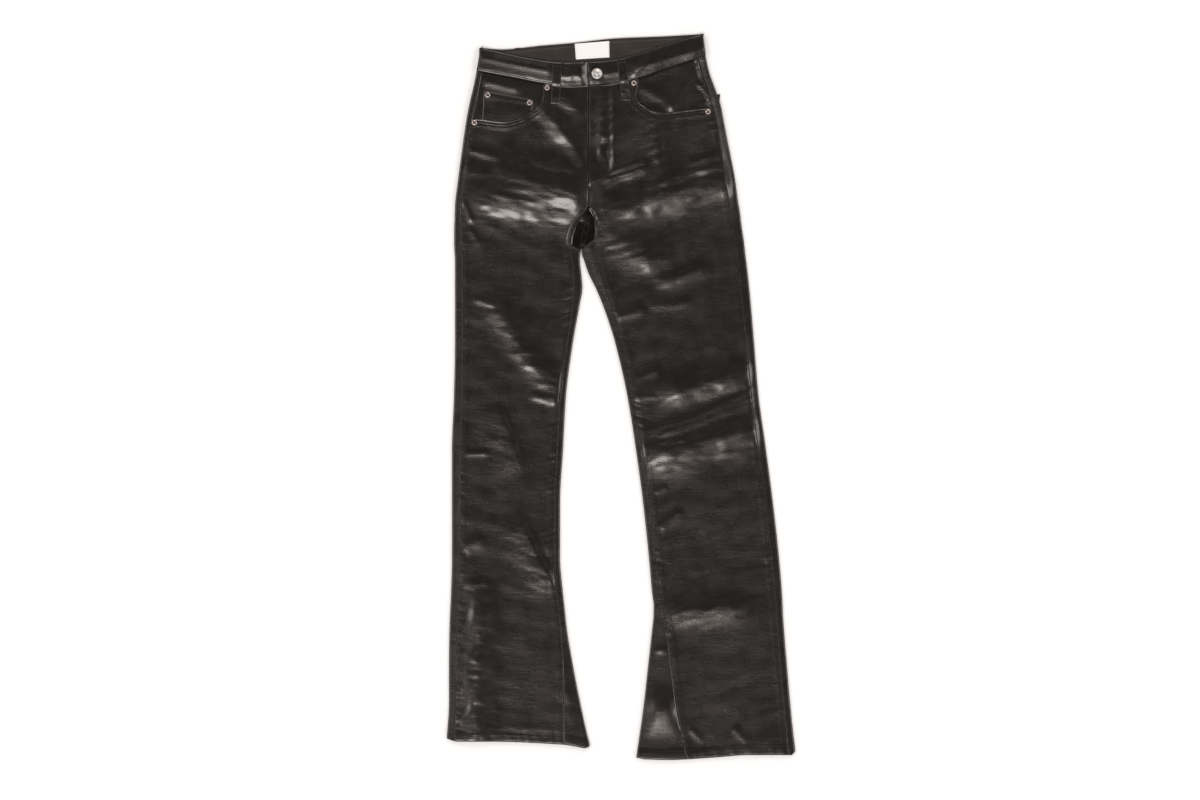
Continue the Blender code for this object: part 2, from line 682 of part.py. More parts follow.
def coin_pocket():
    """The small pocket on the right facing, which runs down behind the scoop."""
    upper_outer, upper_inner, lower_inner, lower_outer = COIN_POCKET
    rows = []
    for step in range(COIN_CELLS + 1):
        share = step / COIN_CELLS
        outer = mix(lower_outer, upper_outer, share)
        inner = mix(lower_inner, upper_inner, share)
        places = [mix(outer, inner, column / COIN_CELLS) for column in range(COIN_CELLS + 1)]
        rows.append([on_top(place.x, place.y, LEATHER + LAYER) for place in places])
    cloth("coin_pocket", [rows], THIN_LEATHER)


# ---------------------------------------------------------------- waistband
def band_front(leg, share):
    """Stations along the front of the waistband, from the centre to the side."""
    seam = split_to(leg.band_seam[::-1], BAND_CELLS)
    length_low = leg.band_seam[0].x - leg.band_seam[-1].x
    length_top = leg.band_top[0].x - leg.band_top[-1].x
    row = []
    for place in seam:
        part = (place.x - leg.band_seam[-1].x) / length_low
        x = leg.band_top[-1].x + part * length_top
        upper = Place(x, height_on(leg.band_top, x))
        spot = mix(place, upper, share)
        row.append(on_top(spot.x, spot.y))
    return row[:-1]


def band_row(share):
    """One level of the waistband: right front, round the side, back, round to the left."""
    right = band_front(RIGHT, share)
    left = band_front(LEFT, share)
    drop = BAND + LAYER
    end = [on_top(right[0][0] + UNDERLAP, right[0][1], drop),
           on_top(right[0][0] + UNDERLAP / 2.0, right[0][1], drop),
           on_top(right[0][0] + 1.0, right[0][1], drop)]
    right[0] = on_top(right[0][0] - STEP_DOWN, right[0][1])
    back_low = BACK_BAND_SEAM
    back_top = BACK_BAND_TOP
    turns = []
    for leg, at in ((RIGHT, 0), (LEFT, -1)):
        y = back_low[at].y + (back_top[at].y - back_low[at].y) * share
        inside = leg.band_seam[0].x - leg.side * FOLD_DEPTH
        low_y = height_on(leg.band_seam, inside)
        top_y = low_y + (leg.band_top[0].y - low_y) * share
        turns.append(rolled_edge(leg, "outer", y, top_y))
    start = turns[0][0][0]
    finish = turns[1][0][0]
    back = []
    for cell in range(1, BACK_BAND_CELLS):
        x = start + (finish - start) * cell / BACK_BAND_CELLS
        y = height_on(back_low, x)
        y += (height_on(back_top, x) - y) * share
        back.append((x, y, LIFT))
    return end + right + turns[0][::-1] + back + turns[1] + left[::-1]


def waistband():
    """One folded strip round the waist, its left end lying over its right end in front."""
    rows = [band_row(share) for share in (0.0, 0.5, 1.0)]
    cloth("waistband", [rows], BAND, flip=True)


def front_loop(loop):
    """A belt loop over the front waistband, bowed a little in the middle."""
    rows = []
    for step in range(LOOP_CELLS + 1):
        share = step / LOOP_CELLS
        x = loop.x2 + (loop.x1 - loop.x2) * share
        y = loop.y2 + (loop.y1 - loop.y2) * share
        up = LAYER + LOOP_THICK + LOOP_BOW * math.sin(math.pi * share)
        rows.append([on_top(x + LOOP_WIDTH * across, y, -up) for across in (-0.5, 0.0, 0.5)])
    cloth(loop.name, [rows], LOOP_THICK)


def back_loop(loop):
    """A belt loop under the back waistband, flat on the surface."""
    half = LOOP_WIDTH / 2.0
    corners = [Place(loop.x1 - half, loop.y1), Place(loop.x1 + half, loop.y1),
               Place(loop.x2 + half, loop.y2), Place(loop.x2 - half, loop.y2)]
    plate(loop.name, corners, 0.0, PATCH, BLACK_LEATHER, soften=0.25)


# ---------------------------------------------------------------- metal
def rest_on(x, y, radius, down=0.0):
    """The height at which a round piece clears the upper skin, or a layer below it."""
    ring = [(x, y)] + [(x + radius * math.cos(turn * math.tau / 8),
                        y + radius * math.sin(turn * math.tau / 8)) for turn in range(8)]
    return max(topside(*spot) for spot in ring) - down + SEAM


def rivet(place, down=0.0):
    """A ring rivet: a low rounded rim round a sunken centre."""
    r = RIVET_RADIUS
    profile = [(0.0, 0.7), (0.34 * r, 0.6), (0.5 * r, 1.5), (0.72 * r, 1.9), (0.93 * r, 1.3),
               (r, 0.5), (0.92 * r, 0.0), (0.0, 0.0)]
    height = rest_on(place.x, place.y, r, down)
    turned(place.name, profile, (place.x, place.y, height), NICKEL, segments=14)


def button():
    """The shank button: a foot, and a dished head with a raised rim and centre."""
    r = BUTTON_RADIUS
    profile = [(0.0, 3.9), (0.24 * r, 3.7), (0.36 * r, 3.1), (0.7 * r, 3.2), (0.82 * r, 4.0),
               (0.94 * r, 3.9), (r, 3.1), (0.95 * r, 2.4), (0.6 * r, 2.0), (0.52 * r, 0.0),
               (0.0, 0.0)]
    height = rest_on(BUTTON.x, BUTTON.y, 0.52 * r)
    turned("button", profile, (BUTTON.x, BUTTON.y, height), NICKEL, segments=22)


# ---------------------------------------------------------------- the garment
def clear_scene():
    """Start from an empty scene, with a collection for the garment."""
    for old in list(bpy.data.objects):
        bpy.data.objects.remove(old)
    collection = bpy.data.collections.new(NAME)
    bpy.context.scene.collection.children.link(collection)


def build():
    """Make every piece of the trousers."""
    clear_scene()
    for leg in (RIGHT, LEFT):
        back_panel(leg)
        yoke(leg)
        plate("back_pocket_" + leg.name, leg.back_pocket, 0.0, PATCH, BLACK_LEATHER,
              soften=0.3)
        front_panel(leg)
        godet(leg)
        pocket_facing(leg)
    coin_pocket()
    waistband()
    for loop in BACK_LOOPS:
        back_loop(loop)
    for loop in FRONT_LOOPS:
        front_loop(loop)
    plate("label", LABEL, LIFT + BAND + LAYER, LABEL_THICK, WHITE_TAPE, soften=0.1)
    for place in FRONT_RIVETS:
        rivet(place)
    for place in COIN_RIVETS:
        rivet(place, down=LEATHER + LAYER)
    button()


build()
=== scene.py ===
"""Flared trousers of glossy dark imitation leather, laid flat on their back on a pale floor.

Lengths in the tables are millimetres, and a mesh is scaled to metres when it is made.
+X is the wearer's left, +Y runs from hem to waist and +Z is up. "Right" and "left" are
the wearer's. Every cloth piece is a thin shell that follows the laid garment: its upper
skin has the folds, creases, seam channels and puckers, and its edges roll under.
"""

import math
from collections import namedtuple

import bmesh
import bpy
import numpy as np
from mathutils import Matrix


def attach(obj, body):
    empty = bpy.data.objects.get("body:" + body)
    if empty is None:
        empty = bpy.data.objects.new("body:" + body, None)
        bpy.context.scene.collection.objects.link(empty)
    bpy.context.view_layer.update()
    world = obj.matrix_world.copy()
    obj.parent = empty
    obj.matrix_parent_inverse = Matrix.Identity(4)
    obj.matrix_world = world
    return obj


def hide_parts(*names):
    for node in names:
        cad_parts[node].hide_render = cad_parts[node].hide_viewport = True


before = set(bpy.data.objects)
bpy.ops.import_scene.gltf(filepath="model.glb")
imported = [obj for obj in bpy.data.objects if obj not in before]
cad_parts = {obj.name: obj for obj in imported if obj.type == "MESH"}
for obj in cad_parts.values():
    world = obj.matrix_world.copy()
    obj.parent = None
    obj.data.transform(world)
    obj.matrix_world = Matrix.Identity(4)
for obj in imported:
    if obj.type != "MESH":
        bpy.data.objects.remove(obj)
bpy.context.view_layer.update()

# ---------------------------------------------------------------- sizes of the garment
MM = 0.001
SEAM = 0.3               # gap between two pieces that are sewn together
WALL = 1.0               # leather of the panels
POCKET_WALL = 0.9
BAND = 2.2               # the folded waistband
LAYER = 0.35             # room between one layer and the next
PATCH = 1.2              # back pockets and back loops
LIFT = 1.5               # the seat lies this high on its pockets,
LIFT_FROM = 294.0        # rising from here
LIFT_TO = 326.0          # to here
FOLD_DEPTH = 2.6         # how far a rolled edge reaches inwards
EDGE_SHARE = 0.85        # thickness at a rolled edge, as a share of the full one,
EDGE_REACH = 20.0        # which is reached this far in
CROTCH_FOLD = 238.0      # the inside legs part below this
CROTCH_JOIN = 254.0      # the seat has come round to its centre seam here
CROTCH_POINT = 309.0     # the centre front and the inside leg seams meet here
CROTCH_DEPTH = 3.2       # the seat lies this far below the fronts in the hollow between them
HIP = 399.0              # rows are level below this, and turn towards the waist above
HEM_BLEND = -500.0       # below this the rows bend to the line of the hem
HEM_TURN = 14.0
HEM_LINES = [0.4, 0.9, 1.6]                              # extra rows above the hem
HEM_STITCH_LINES = [HEM_TURN - 1.2, HEM_TURN + 1.2]      # and beside its stitches
LOOP_WIDTH = 15.0
LOOP_THICK = 1.4
LOOP_BOW = 1.2           # a front loop stands this far off in its middle
RIVET_RADIUS = 4.6
BUTTON_RADIUS = 8.9
YOKE_AT_SIDE = 33.0      # height of a yoke at the side and at the centre back
YOKE_AT_CENTRE = 62.0
CENTRE_FRONT = -53.5
GODET_HALF = 40.0        # the godet's back seam is this far from the edge at the hem
GODET_FOLD = 2.2         # how far its rolled edge reaches inwards
GODET_CREST = 76.0       # it swells most this far above the hem
STEP_DOWN = 7.0          # the band's right end goes down this far from the centre front,
UNDERLAP = 30.0          # and runs this far under the left end
FACING_HEM = 431.0       # foot of the facings, behind the fronts
FACING_DIP = 10.0        # a facing sinks from the side seam over this width
FACING_REACH = 12.0      # and runs this far past the scoop's corner
FACING_DOWN = WALL + LAYER + 0.2         # below the skin of the front
COIN_WIDTH = 81.0
COIN_RIVETS_DOWN = 1.8   # the coin pocket's rivets sit this far below the skin of the front
FRONT_ABOVE_HIP = 110.0

# How far each row of stitches, and the channel that it presses, lies from its edge or seam.
SIDE_ROW = 5.0
INSIDE_LEG_ROWS = (2.2, 6.4)
SCOOP_ROWS = (2.6, 7.6)
COIN_ROWS = (3.0, 9.0)
COIN_SIDE_ROW = 2.6
FLY_ROW = 4.2
BAND_LOW_ROW = 3.4
BAND_TOP_ROW = 3.6

CELL = 2.5               # cloth cell of the panels that show
UNDER_CELL = 3.6         # cloth cell of the undersides

Row = namedtuple("Row", "y outer outseam inseam inner")
RIGHT_LEG = [
    Row(-572, -285.9, -273.4, -94.3, -50.8), Row(-500, -282.1, -271.4, -94.3, -67.2),
    Row(-441, -282.1, -270.6, -95.1, -78.7), Row(-382, -281.3, -269.0, -98.4, -88.6),
    Row(-340, -279.6, -267.3, -103.0, -93.2), Row(-323, -278.8, -266.5, -105.0, -95.1),
    Row(-264, -277.2, -264.9, -108.2, -100.0), Row(-175, -277.2, -264.0, -108.2, -100.0),
    Row(-87, -277.2, -263.2, -104.1, -95.1), Row(2, -273.9, -260.8, -99.2, -90.2),
    Row(90, -272.2, -260.3, -87.7, -78.7), Row(149, -272.2, -260.3, -79.5, -68.2),
    Row(179, -272.2, -260.8, -77.9, -63.3), Row(205, -272.2, -260.8, -77.9, -65.6),
    Row(225, -272.2, -260.8, -80.4, -67.4), Row(238, -273.1, -261.6, -82.8, -66.4),
    Row(254, -273.6, -262.4, -84.5, -63.1), Row(271, -273.6, -262.4, -81.2, -59.0),
    Row(287, -273.2, -262.1, -73.8, -55.8), Row(302, -272.6, -261.7, -62.3, -54.0),
    Row(309, -272.4, -261.6, -56.8, -53.7), Row(315, -272.2, -261.6, -53.5, -53.5),
    Row(356, -267.3, -256.7, -53.5, -53.5), Row(399, -261.6, -252.6, -53.5, -53.5),
    Row(451, -254.2, -246.8, -53.5, -53.5), Row(481, -248.5, -239.5, -53.5, -53.5),
    Row(513, -241.1, -233.5, -53.5, -53.5), Row(535, -236.8, -229.5, -53.5, -53.5),
    Row(573, -230.4, -223.0, -53.5, -53.5)]
LEFT_LEG = [
    Row(-590, 285.9, 276.0, 106.0, 24.8), Row(-500, 277.2, 267.3, 90.2, 37.7),
    Row(-441, 272.2, 261.9, 82.5, 44.3), Row(-382, 267.3, 257.0, 75.4, 50.8),
    Row(-359, 265.7, 255.3, 70.5, 53.2), Row(-340, 264.9, 254.2, 66.5, 53.4),
    Row(-323, 264.0, 252.6, 63.1, 51.2), Row(-264, 259.1, 247.1, 56.6, 45.9),
    Row(-175, 249.3, 237.0, 46.7, 36.4), Row(-87, 237.8, 225.5, 34.4, 24.6),
    Row(2, 225.5, 214.0, 18.9, 10.3), Row(90, 218.1, 205.5, 0.0, -9.8),
    Row(139, 214.0, 200.4, -12.6, -25.4), Row(175, 210.7, 196.8, -24.9, -39.7),
    Row(205, 207.5, 193.5, -34.4, -54.1), Row(225, 205.0, 190.7, -38.7, -60.9),
    Row(238, 203.4, 189.1, -40.5, -64.8), Row(254, 201.7, 187.3, -41.0, -61.9),
    Row(271, 199.0, 184.7, -39.4, -57.4), Row(287, 196.8, 182.5, -40.5, -54.6),
    Row(302, 195.2, 180.4, -45.1, -52.9), Row(309, 193.9, 179.1, -49.6, -52.9),
    Row(315, 192.7, 177.9, -53.5, -53.5), Row(356, 187.0, 171.4, -53.5, -53.5),
    Row(399, 178.8, 164.8, -53.5, -53.5), Row(458, 167.3, 155.8, -53.5, -53.5),
    Row(479, 163.2, 149.2, -53.5, -53.5), Row(505, 154.2, 141.5, -53.5, -53.5),
    Row(533, 144.3, 132.2, -53.5, -53.5), Row(560, 138.6, 126.0, -53.5, -53.5),
    Row(595, 134.2, 124.0, -53.5, -53.5)]

# Lines of (x, y) places: hems, pocket scoops and the two edges of the waistband.
RIGHT_HEM = [(-285.4, -560), (-268, -565), (-215, -565), (-95, -570), (-75, -573), (-58, -576),
             (-50.6, -572)]
LEFT_HEM = [(285.4, -581), (279, -587), (205, -587), (166, -590), (107, -594), (80, -595),
            (39, -594), (24.6, -591)]
RIGHT_SCOOP = [(-245.4, 455.5), (-235.3, 455.6), (-209.9, 452.3), (-191.2, 450.8),
               (-169.6, 455.6), (-153.5, 464.1), (-141.2, 471.7), (-131.9, 481.0),
               (-129.1, 490.4), (-127.5, 500.9), (-127.0, 513.6)]
LEFT_SCOOP = [(150.2, 474.7), (138.7, 473.3), (105.0, 469.5), (71.0, 465.8), (50.3, 469.0),
              (37.7, 477.2), (28.4, 484.8), (24.5, 496.1), (27.5, 508.4), (29.0, 522.2)]
RIGHT_BAND_SEAM = [(-236.6, 534.5), (-182, 524.4), (-127, 513.9), (-83.6, 508.9), (-54, 510.2)]
RIGHT_BAND_TOP = [(-230.4, 572.4), (-193.5, 564.2), (-149.2, 554.8), (-108.2, 549.2),
                  (-83.6, 548.4), (-55, 548.7)]
LEFT_BAND_SEAM = [(138.8, 559.2), (113.2, 551), (72.2, 537.9), (29.0, 522.6), (-1.6, 515.3),
                  (-34.4, 512), (-53, 511.2)]
LEFT_BAND_TOP = [(134.2, 594.7), (96.8, 584.7), (64, 574), (31.2, 563.3), (-8.9, 553.3),
                 (-34.4, 550.2), (-54.5, 549)]
BACK_BAND_SEAM = [(-237, 533.5), (139.5, 556.7)]
BACK_BAND_TOP = [(-230.4, 572.4), (-195.2, 569.6), (-132.8, 575.6), (-75.4, 580.6),
                 (-3.3, 588.1), (64, 590.8), (134.2, 594.7)]
# The centre back seam; pairs of a height and the laid garment's full thickness there; and the
# outer edge of the fly, from the waistband to its foot.
CENTRE_BACK = [(-65.6, 238), (-57.5, 275), (-50.5, 325), (-48, 400), (-47, 595)]
THICKNESS = [(-600, 5.6), (-540, 5.4), (0, 5.4), (200, 5.6), (290, 6.1), (340, 7.4),
             (400, 7.7), (440, 8.8), (600, 9.1)]
FLY_CURVE = [(-15.1, 508), (-14.8, 397), (-16.4, 374), (-21, 363), (-29.5, 356), (-49, 347)]
FLY_FOOT = FLY_CURVE[-1][1]

# Corners of the patches and the label, and the centre of the button.
RIGHT_BACK_POCKET = [(-234, 489), (-84, 482), (-93, 357), (-158, 331), (-222, 357)]
LEFT_BACK_POCKET = [(162.4, 496), (12, 488), (21, 362), (88, 337), (153, 364)]
COIN_POCKET = [(-224.5, 502.0), (-144.0, 487.4), (-148.0, 441.0), (-228.0, 441.0)]
LABEL = [(-75.8, 579.0), (-19.4, 583.4), (-18.9, 556.8), (-73.8, 553.4)]
BUTTON = (-39.4, 529.7)

# How the legs differ as they lie: the share of a front's columns that end on its scoop, and
# how far they bow towards the centre below the scoop's corner; how high and from where the
# front stands up by the crotch; how fast the hollow there narrows towards its foot; how far
# the hip slopes away past the side seam; and how much the godet swells.
Lie = namedtuple("Lie", "scoop_share scoop_bow rim_height rim_low hollow_slope hip_slope swell")
RIGHT_LIE = Lie(7.0 / 11.0, 4.0, 1.2, 246.0, 0.4, 0.0, 1.2)
LEFT_LIE = Lie(0.8, 8.0, 0.9, 286.0, 1.0, 0.12, 4.6)

Rivet = namedtuple("Rivet", "node x y")
FRONT_RIVETS = [Rivet("rivet_right_side", -240.2, 449.6),
                Rivet("rivet_right_waist", -121.0, 506.6),
                Rivet("rivet_left_waist", 21.2, 514.3), Rivet("rivet_left_side", 142.6, 467.4)]
COIN_RIVETS = [Rivet("rivet_coin_outer", -218.6, 494.9), Rivet("rivet_coin_inner", -149.9, 482.3)]
Loop = namedtuple("Loop", "node x1 y1 x2 y2")
FRONT_LOOPS = [Loop("belt_loop_front_right", -104.4, 547.0, -107.6, 480.0),
               Loop("belt_loop_front_left", 0.7, 553.4, 8.6, 485.4)]
BACK_LOOPS = [Loop("belt_loop_back_right", -166, 572.5, -168, 517.5),
              Loop("belt_loop_back_centre", -47, 582.0, -47, 527.0),
              Loop("belt_loop_back_left", 66, 589.0, 70, 534.0)]

# Soft ridges of the laid cloth between two places. bow bends the ridge to its right-hand
# side, going from the first place to the second. right and left are its half widths there.
Ridge = namedtuple("Ridge", "x1 y1 x2 y2 bow height right left")
RIDGES = [
    Ridge(-133, 481, -34, 346, -1.6, 3.3, 13, 15),  # crease down to the fly
    Ridge(-254, 407, -189, 390, 0, 0.9, 7, 7),  # right hip line
    Ridge(-257, 371, -212, 364, -1.6, 1.2, 10, 11),  # right hip fold
    Ridge(-198, 372, -48, 348, -3.3, 5.1, 48, 25),  # right lap line
    Ridge(-235, 326, -126, 310, 1.6, 1.8, 20, 20),  # thigh sheen outer
    Ridge(-153, 353, -54, 323, -3.3, 1.8, 28, 15),  # thigh sheen inner
    Ridge(-244, 323, -44, 326, 0, 1.8, 39, 33),  # right thigh broad
    Ridge(-146, 287, -67, 313, 3.3, 1.2, 21, 13),  # thigh sheen low
    Ridge(-257, 318, -244, 287, 0, 1.1, 4, 4),  # hip nick upper
    Ridge(-248, 276, -230, 251, 0, 0.8, 6, 5),  # hip nick lower
    Ridge(-241, 161, -205, 151, 0, 0.8, 7, 7),  # right thigh fold top
    Ridge(-215, 164, -100, 2, 6.6, 2.4, 16, 25),  # right thigh long fold
    Ridge(-146, 3, -102, -8, 0, 1.3, 8, 7),  # right thigh fold foot
    Ridge(-203, -21, -166, -116, -3.3, 2.0, 28, 8),  # right knee drag
    Ridge(-166, -198, -112, -307, 3.3, 2.2, 28, 8),  # right shin drag
    Ridge(-254, -92, -218, -92, 0, 0.9, 6, 5),  # right knee fleck
    Ridge(-256, -249, -226, -233, 0, 1.5, 11, 10),  # right shin patch
    Ridge(-257, -307, -216, -305, 0, 1.2, 7, 7),  # right shin cap
    Ridge(-233, -320, -239, -571, 1.6, 4.8, 18, 25),  # right hem fold
    Ridge(-215, -540, -100, -546, 0, 0.6, 8, 10),  # right hem ripple
    Ridge(-30, 356, 44, 380, 1.6, 3.6, 10, 8),  # fly foot drag
    Ridge(15, 351, 77, 372, 0, 1.2, 11, 11),  # fly foot second
    Ridge(-2, 308, 182, 361, 3.3, 4.6, 20, 25),  # left lap line
    Ridge(-2, 300, 179, 330, 0, 1.1, 36, 30),  # left thigh broad
    Ridge(31, 335, 136, 354, 1.6, 1.6, 13, 15),  # left lap second
    Ridge(110, 382, 166, 399, 0, 0.9, 7, 7),  # left hip wrinkles
    Ridge(123, 359, 166, 371, 0, 0.9, 7, 7),  # left hip wrinkle low
    Ridge(-30, 503, -31, 369, 0, 2.1, 8, 15),  # fly edge swell
    Ridge(-41, 430, -15, 425, 0, 1.0, 7, 5),  # fly bar pull
    Ridge(-31, 408, -15, 372, 0, 1.2, 10, 8),  # fly low fold
    Ridge(-100, 500, -64, 458, 0, 2.0, 20, 13),  # right front swell
    Ridge(57, 467, 57, 379, 0, 2.6, 18, 15),  # left front soft
    Ridge(-28, 320, 64, 226, 23, 2.8, 28, 33),  # left inner thigh
    Ridge(38, 218, 87, 225, 0, 1.0, 13, 13),  # left inner thigh foot
    Ridge(64, 187, 139, 215, 1.6, 1.8, 13, 11),  # left thigh mid
    Ridge(-5, 131, 38, 144, 0, 1.1, 7, 8),  # left thigh low inner
    Ridge(51, 148, 110, 156, 0, 0.9, 8, 8),  # left thigh low outer
    Ridge(25, 28, 62, 43, 0, 0.8, 7, 7),  # left knee small
    Ridge(21, 0, 57, 0, 0, 0.6, 5, 5),  # left knee inner line
    Ridge(71, 8, 205, 43, 3.3, 4.2, 21, 20),  # left knee upper ridge
    Ridge(44, -57, 212, 8, 4.9, 1.8, 26, 7),  # left knee crease
    Ridge(44, -93, 218, -44, 6.6, 4.6, 31, 16),  # left knee lower ridge
    Ridge(44, -100, 87, -93, 0, 0.4, 16, 11),  # left knee patch inner
    Ridge(162, -74, 210, -52, 0, 0.7, 15, 8),  # left knee patch outer
    Ridge(56, -156, 74, -148, 0, 0.7, 5, 5),  # left shin fleck
    Ridge(64, -216, 98, -187, 0, 1.1, 8, 8),  # left shin diagonal
    Ridge(74, -351, 205, -346, 0, 2.4, 21, 18),  # left shin cross
    Ridge(48, -415, 75, -415, 0, 0.8, 5, 5),  # godet nick
    Ridge(113, -543, 133, -564, 0, 0.5, 5, 7),  # left hem mark inner
    Ridge(184, -543, 207, -564, 0, 0.7, 6, 7),  # left hem mark outer
]

# Rows of puckers across a seam: where they start and end along Y, and how deep and far they go.
Pucker = namedtuple("Pucker", "leg seam low high depth reach")
PUCKERS = [
    Pucker("right", "inseam", 110, 190, 0.55, 12), Pucker("right", "inseam", -290, 20, 0.5, 14),
    Pucker("right", "inseam", -560, -300, 0.25, 7), Pucker("right", "outseam", -570, 440, 0.14, 6),
    Pucker("right", "outseam", -330, -80, 0.25, 9), Pucker("left", "outseam", 430, 560, 0.6, 12),
    Pucker("left", "outseam", 300, 430, 0.3, 10), Pucker("left", "outseam", -60, 30, 0.5, 16),
    Pucker("right", "outseam", -560, -320, 0.4, 22),
    Pucker("left", "outseam", -320, -250, 0.6, 14), Pucker("left", "outseam", -580, 300, 0.16, 7),
    Pucker("left", "inseam", -60, 10, 0.6, 16), Pucker("left", "inseam", -330, -240, 0.5, 12),
    Pucker("left", "inseam", 40, 200, 0.25, 8), Pucker("left", "inseam", -590, -330, 0.22, 7),
]


# ---------------------------------------------------------------- curves
def soft(value):
    """0 below 0, 1 above 1, smooth between."""
    value = np.clip(value, 0.0, 1.0)
    return value * value * (3.0 - 2.0 * value)


def bell(value):
    """1 at 0, falling smoothly to 0 by about 2."""
    return np.exp(-value * value)


def flow(at, knots, values):
    """A smooth curve without overshoot through (knot, value) pairs, read at some places."""
    knots = np.asarray(knots, float)
    values = np.asarray(values, float)
    rise = np.diff(values) / np.diff(knots)
    slopes = np.concatenate([rise[:1], np.zeros(len(rise) - 1), rise[-1:]])
    product = rise[:-1] * rise[1:]
    total = rise[:-1] + rise[1:]
    turning = product > 0
    slopes[1:-1][turning] = 2.0 * product[turning] / total[turning]
    at = np.clip(at, knots[0], knots[-1])
    cell = np.clip(np.searchsorted(knots, at, side="right") - 1, 0, len(rise) - 1)
    width = np.diff(knots)[cell]
    t = (at - knots[cell]) / width
    low, high = values[cell], values[cell + 1]
    a, b = slopes[cell] * width, slopes[cell + 1] * width
    return (low + a * t + (3 * (high - low) - 2 * a - b) * t ** 2
            + (a + b - 2 * (high - low)) * t ** 3)


def line_of(places, cells):
    """Evenly spaced places along a smooth line through a few."""
    places = np.asarray(places, float)
    travelled = np.concatenate([[0.0], np.cumsum(np.hypot(*np.diff(places, axis=0).T))])
    dense = np.linspace(0.0, travelled[-1], 12 * cells + 1)
    points = np.stack([flow(dense, travelled, places[:, axis]) for axis in (0, 1)], axis=1)
    length = np.concatenate([[0.0], np.cumsum(np.hypot(*np.diff(points, axis=0).T))])
    at = np.linspace(0.0, length[-1], cells + 1)
    return np.stack([np.interp(at, length, points[:, axis]) for axis in (0, 1)], axis=1)


def height_on(places, x):
    """The y of a line where it passes x."""
    order = sorted(places)
    return flow(x, [place[0] for place in order], [place[1] for place in order])


def beside(line, distance):
    """A line moved sideways, to its left-hand side."""
    run = np.gradient(line, axis=0)
    run /= np.hypot(*run.T)[:, None]
    return line + distance * np.stack([-run[:, 1], run[:, 0]], axis=1)


def join_groove(off):
    """A narrow, steep-sided groove where two turned edges meet."""
    return -1.0 * (1.0 - soft((np.abs(off) - 0.4) / 0.25))


def reach(line, x, y):
    """The distance from each place to a line, and how far along the line that is."""
    best = np.full(np.shape(x), np.inf)
    spot = np.zeros(np.shape(x))
    travelled = 0.0
    for (ax, ay), (bx, by) in zip(line[:-1], line[1:]):
        length = math.hypot(bx - ax, by - ay)
        share = np.clip(((x - ax) * (bx - ax) + (y - ay) * (by - ay)) / length ** 2, 0, 1)
        gap = np.hypot(x - ax - (bx - ax) * share, y - ay - (by - ay) * share)
        spot = np.where(gap < best, travelled + share * length, spot)
        best = np.minimum(best, gap)
        travelled += length
    return best, spot


def lumps(x, y, size, seed):
    """Smooth uneven lumps of about one size, from -1 to 1."""
    table = np.random.RandomState(seed).uniform(-1.0, 1.0, (61, 61))
    u, v = np.broadcast_arrays(np.asarray(x) / size, np.asarray(y) / size)
    i, j = np.floor(u).astype(int), np.floor(v).astype(int)
    a, b = soft(u - i), soft(v - j)
    corner = [[table[(i + p) % 61, (j + q) % 61] for q in (0, 1)] for p in (0, 1)]
    low = corner[0][0] * (1 - a) + corner[1][0] * a
    high = corner[0][1] * (1 - a) + corner[1][1] * a
    return low * (1 - b) + high * b


class Leg:
    """One leg: its outline, its hem, and the pocket and waistband lines above it."""

    def __init__(self, name, side, lie, godet_top, rows, hem, scoop, band_seam, band_top):
        self.name = name
        self.side = side
        self.lie = lie
        self.godet_top = godet_top
        self.foot = rows[0].y
        self.knots = [row.y for row in rows]
        self.columns = {key: [getattr(row, key) for row in rows] for key in Row._fields}
        self.hem = hem
        self.scoop = line_of(scoop, 40)
        self.band_seam = band_seam
        self.band_top = band_top

    def edge(self, column, y):
        """One column of the outline at height y."""
        return flow(y, self.knots, self.columns[column])

    def lay(self, x, level):
        """The real height along Y of a level row, which bends to the hem at the bottom."""
        share = np.clip((HEM_BLEND - level) / (HEM_BLEND - self.foot), 0.0, 1.0)
        return level + (height_on(self.hem, x) - self.foot) * share


RIGHT = Leg("right", -1, RIGHT_LIE, -323.0, RIGHT_LEG, RIGHT_HEM, RIGHT_SCOOP,
            RIGHT_BAND_SEAM, RIGHT_BAND_TOP)
LEFT = Leg("left", 1, LEFT_LIE, -340.0, LEFT_LEG, LEFT_HEM, LEFT_SCOOP, LEFT_BAND_SEAM,
           LEFT_BAND_TOP)


# ---------------------------------------------------------------- the height of the cloth
def middle_at(y):
    """The centre back line, which parts the two legs."""
    return flow(y, [place[1] for place in CENTRE_BACK], [place[0] for place in CENTRE_BACK])


def underside(y):
    """Height of the lower skin: on the floor, or on the back pockets at the seat."""
    return LIFT * soft((np.asarray(y, float) - LIFT_FROM) / (LIFT_TO - LIFT_FROM))


def thickness(y):
    """Full thickness of the laid garment."""
    return flow(y, [pair[0] for pair in THICKNESS], [pair[1] for pair in THICKNESS])


def edge_gap(x, y):
    """Distance to the nearest rolled edge."""
    gaps = []
    for leg in (RIGHT, LEFT):
        inner = np.abs(x - leg.edge("inner", y)) + np.maximum(0.0, y - CROTCH_FOLD) * 0.8
        gaps.append(np.minimum(np.abs(x - leg.edge("outer", y)), inner))
    return np.where(x < middle_at(y), gaps[0], gaps[1])


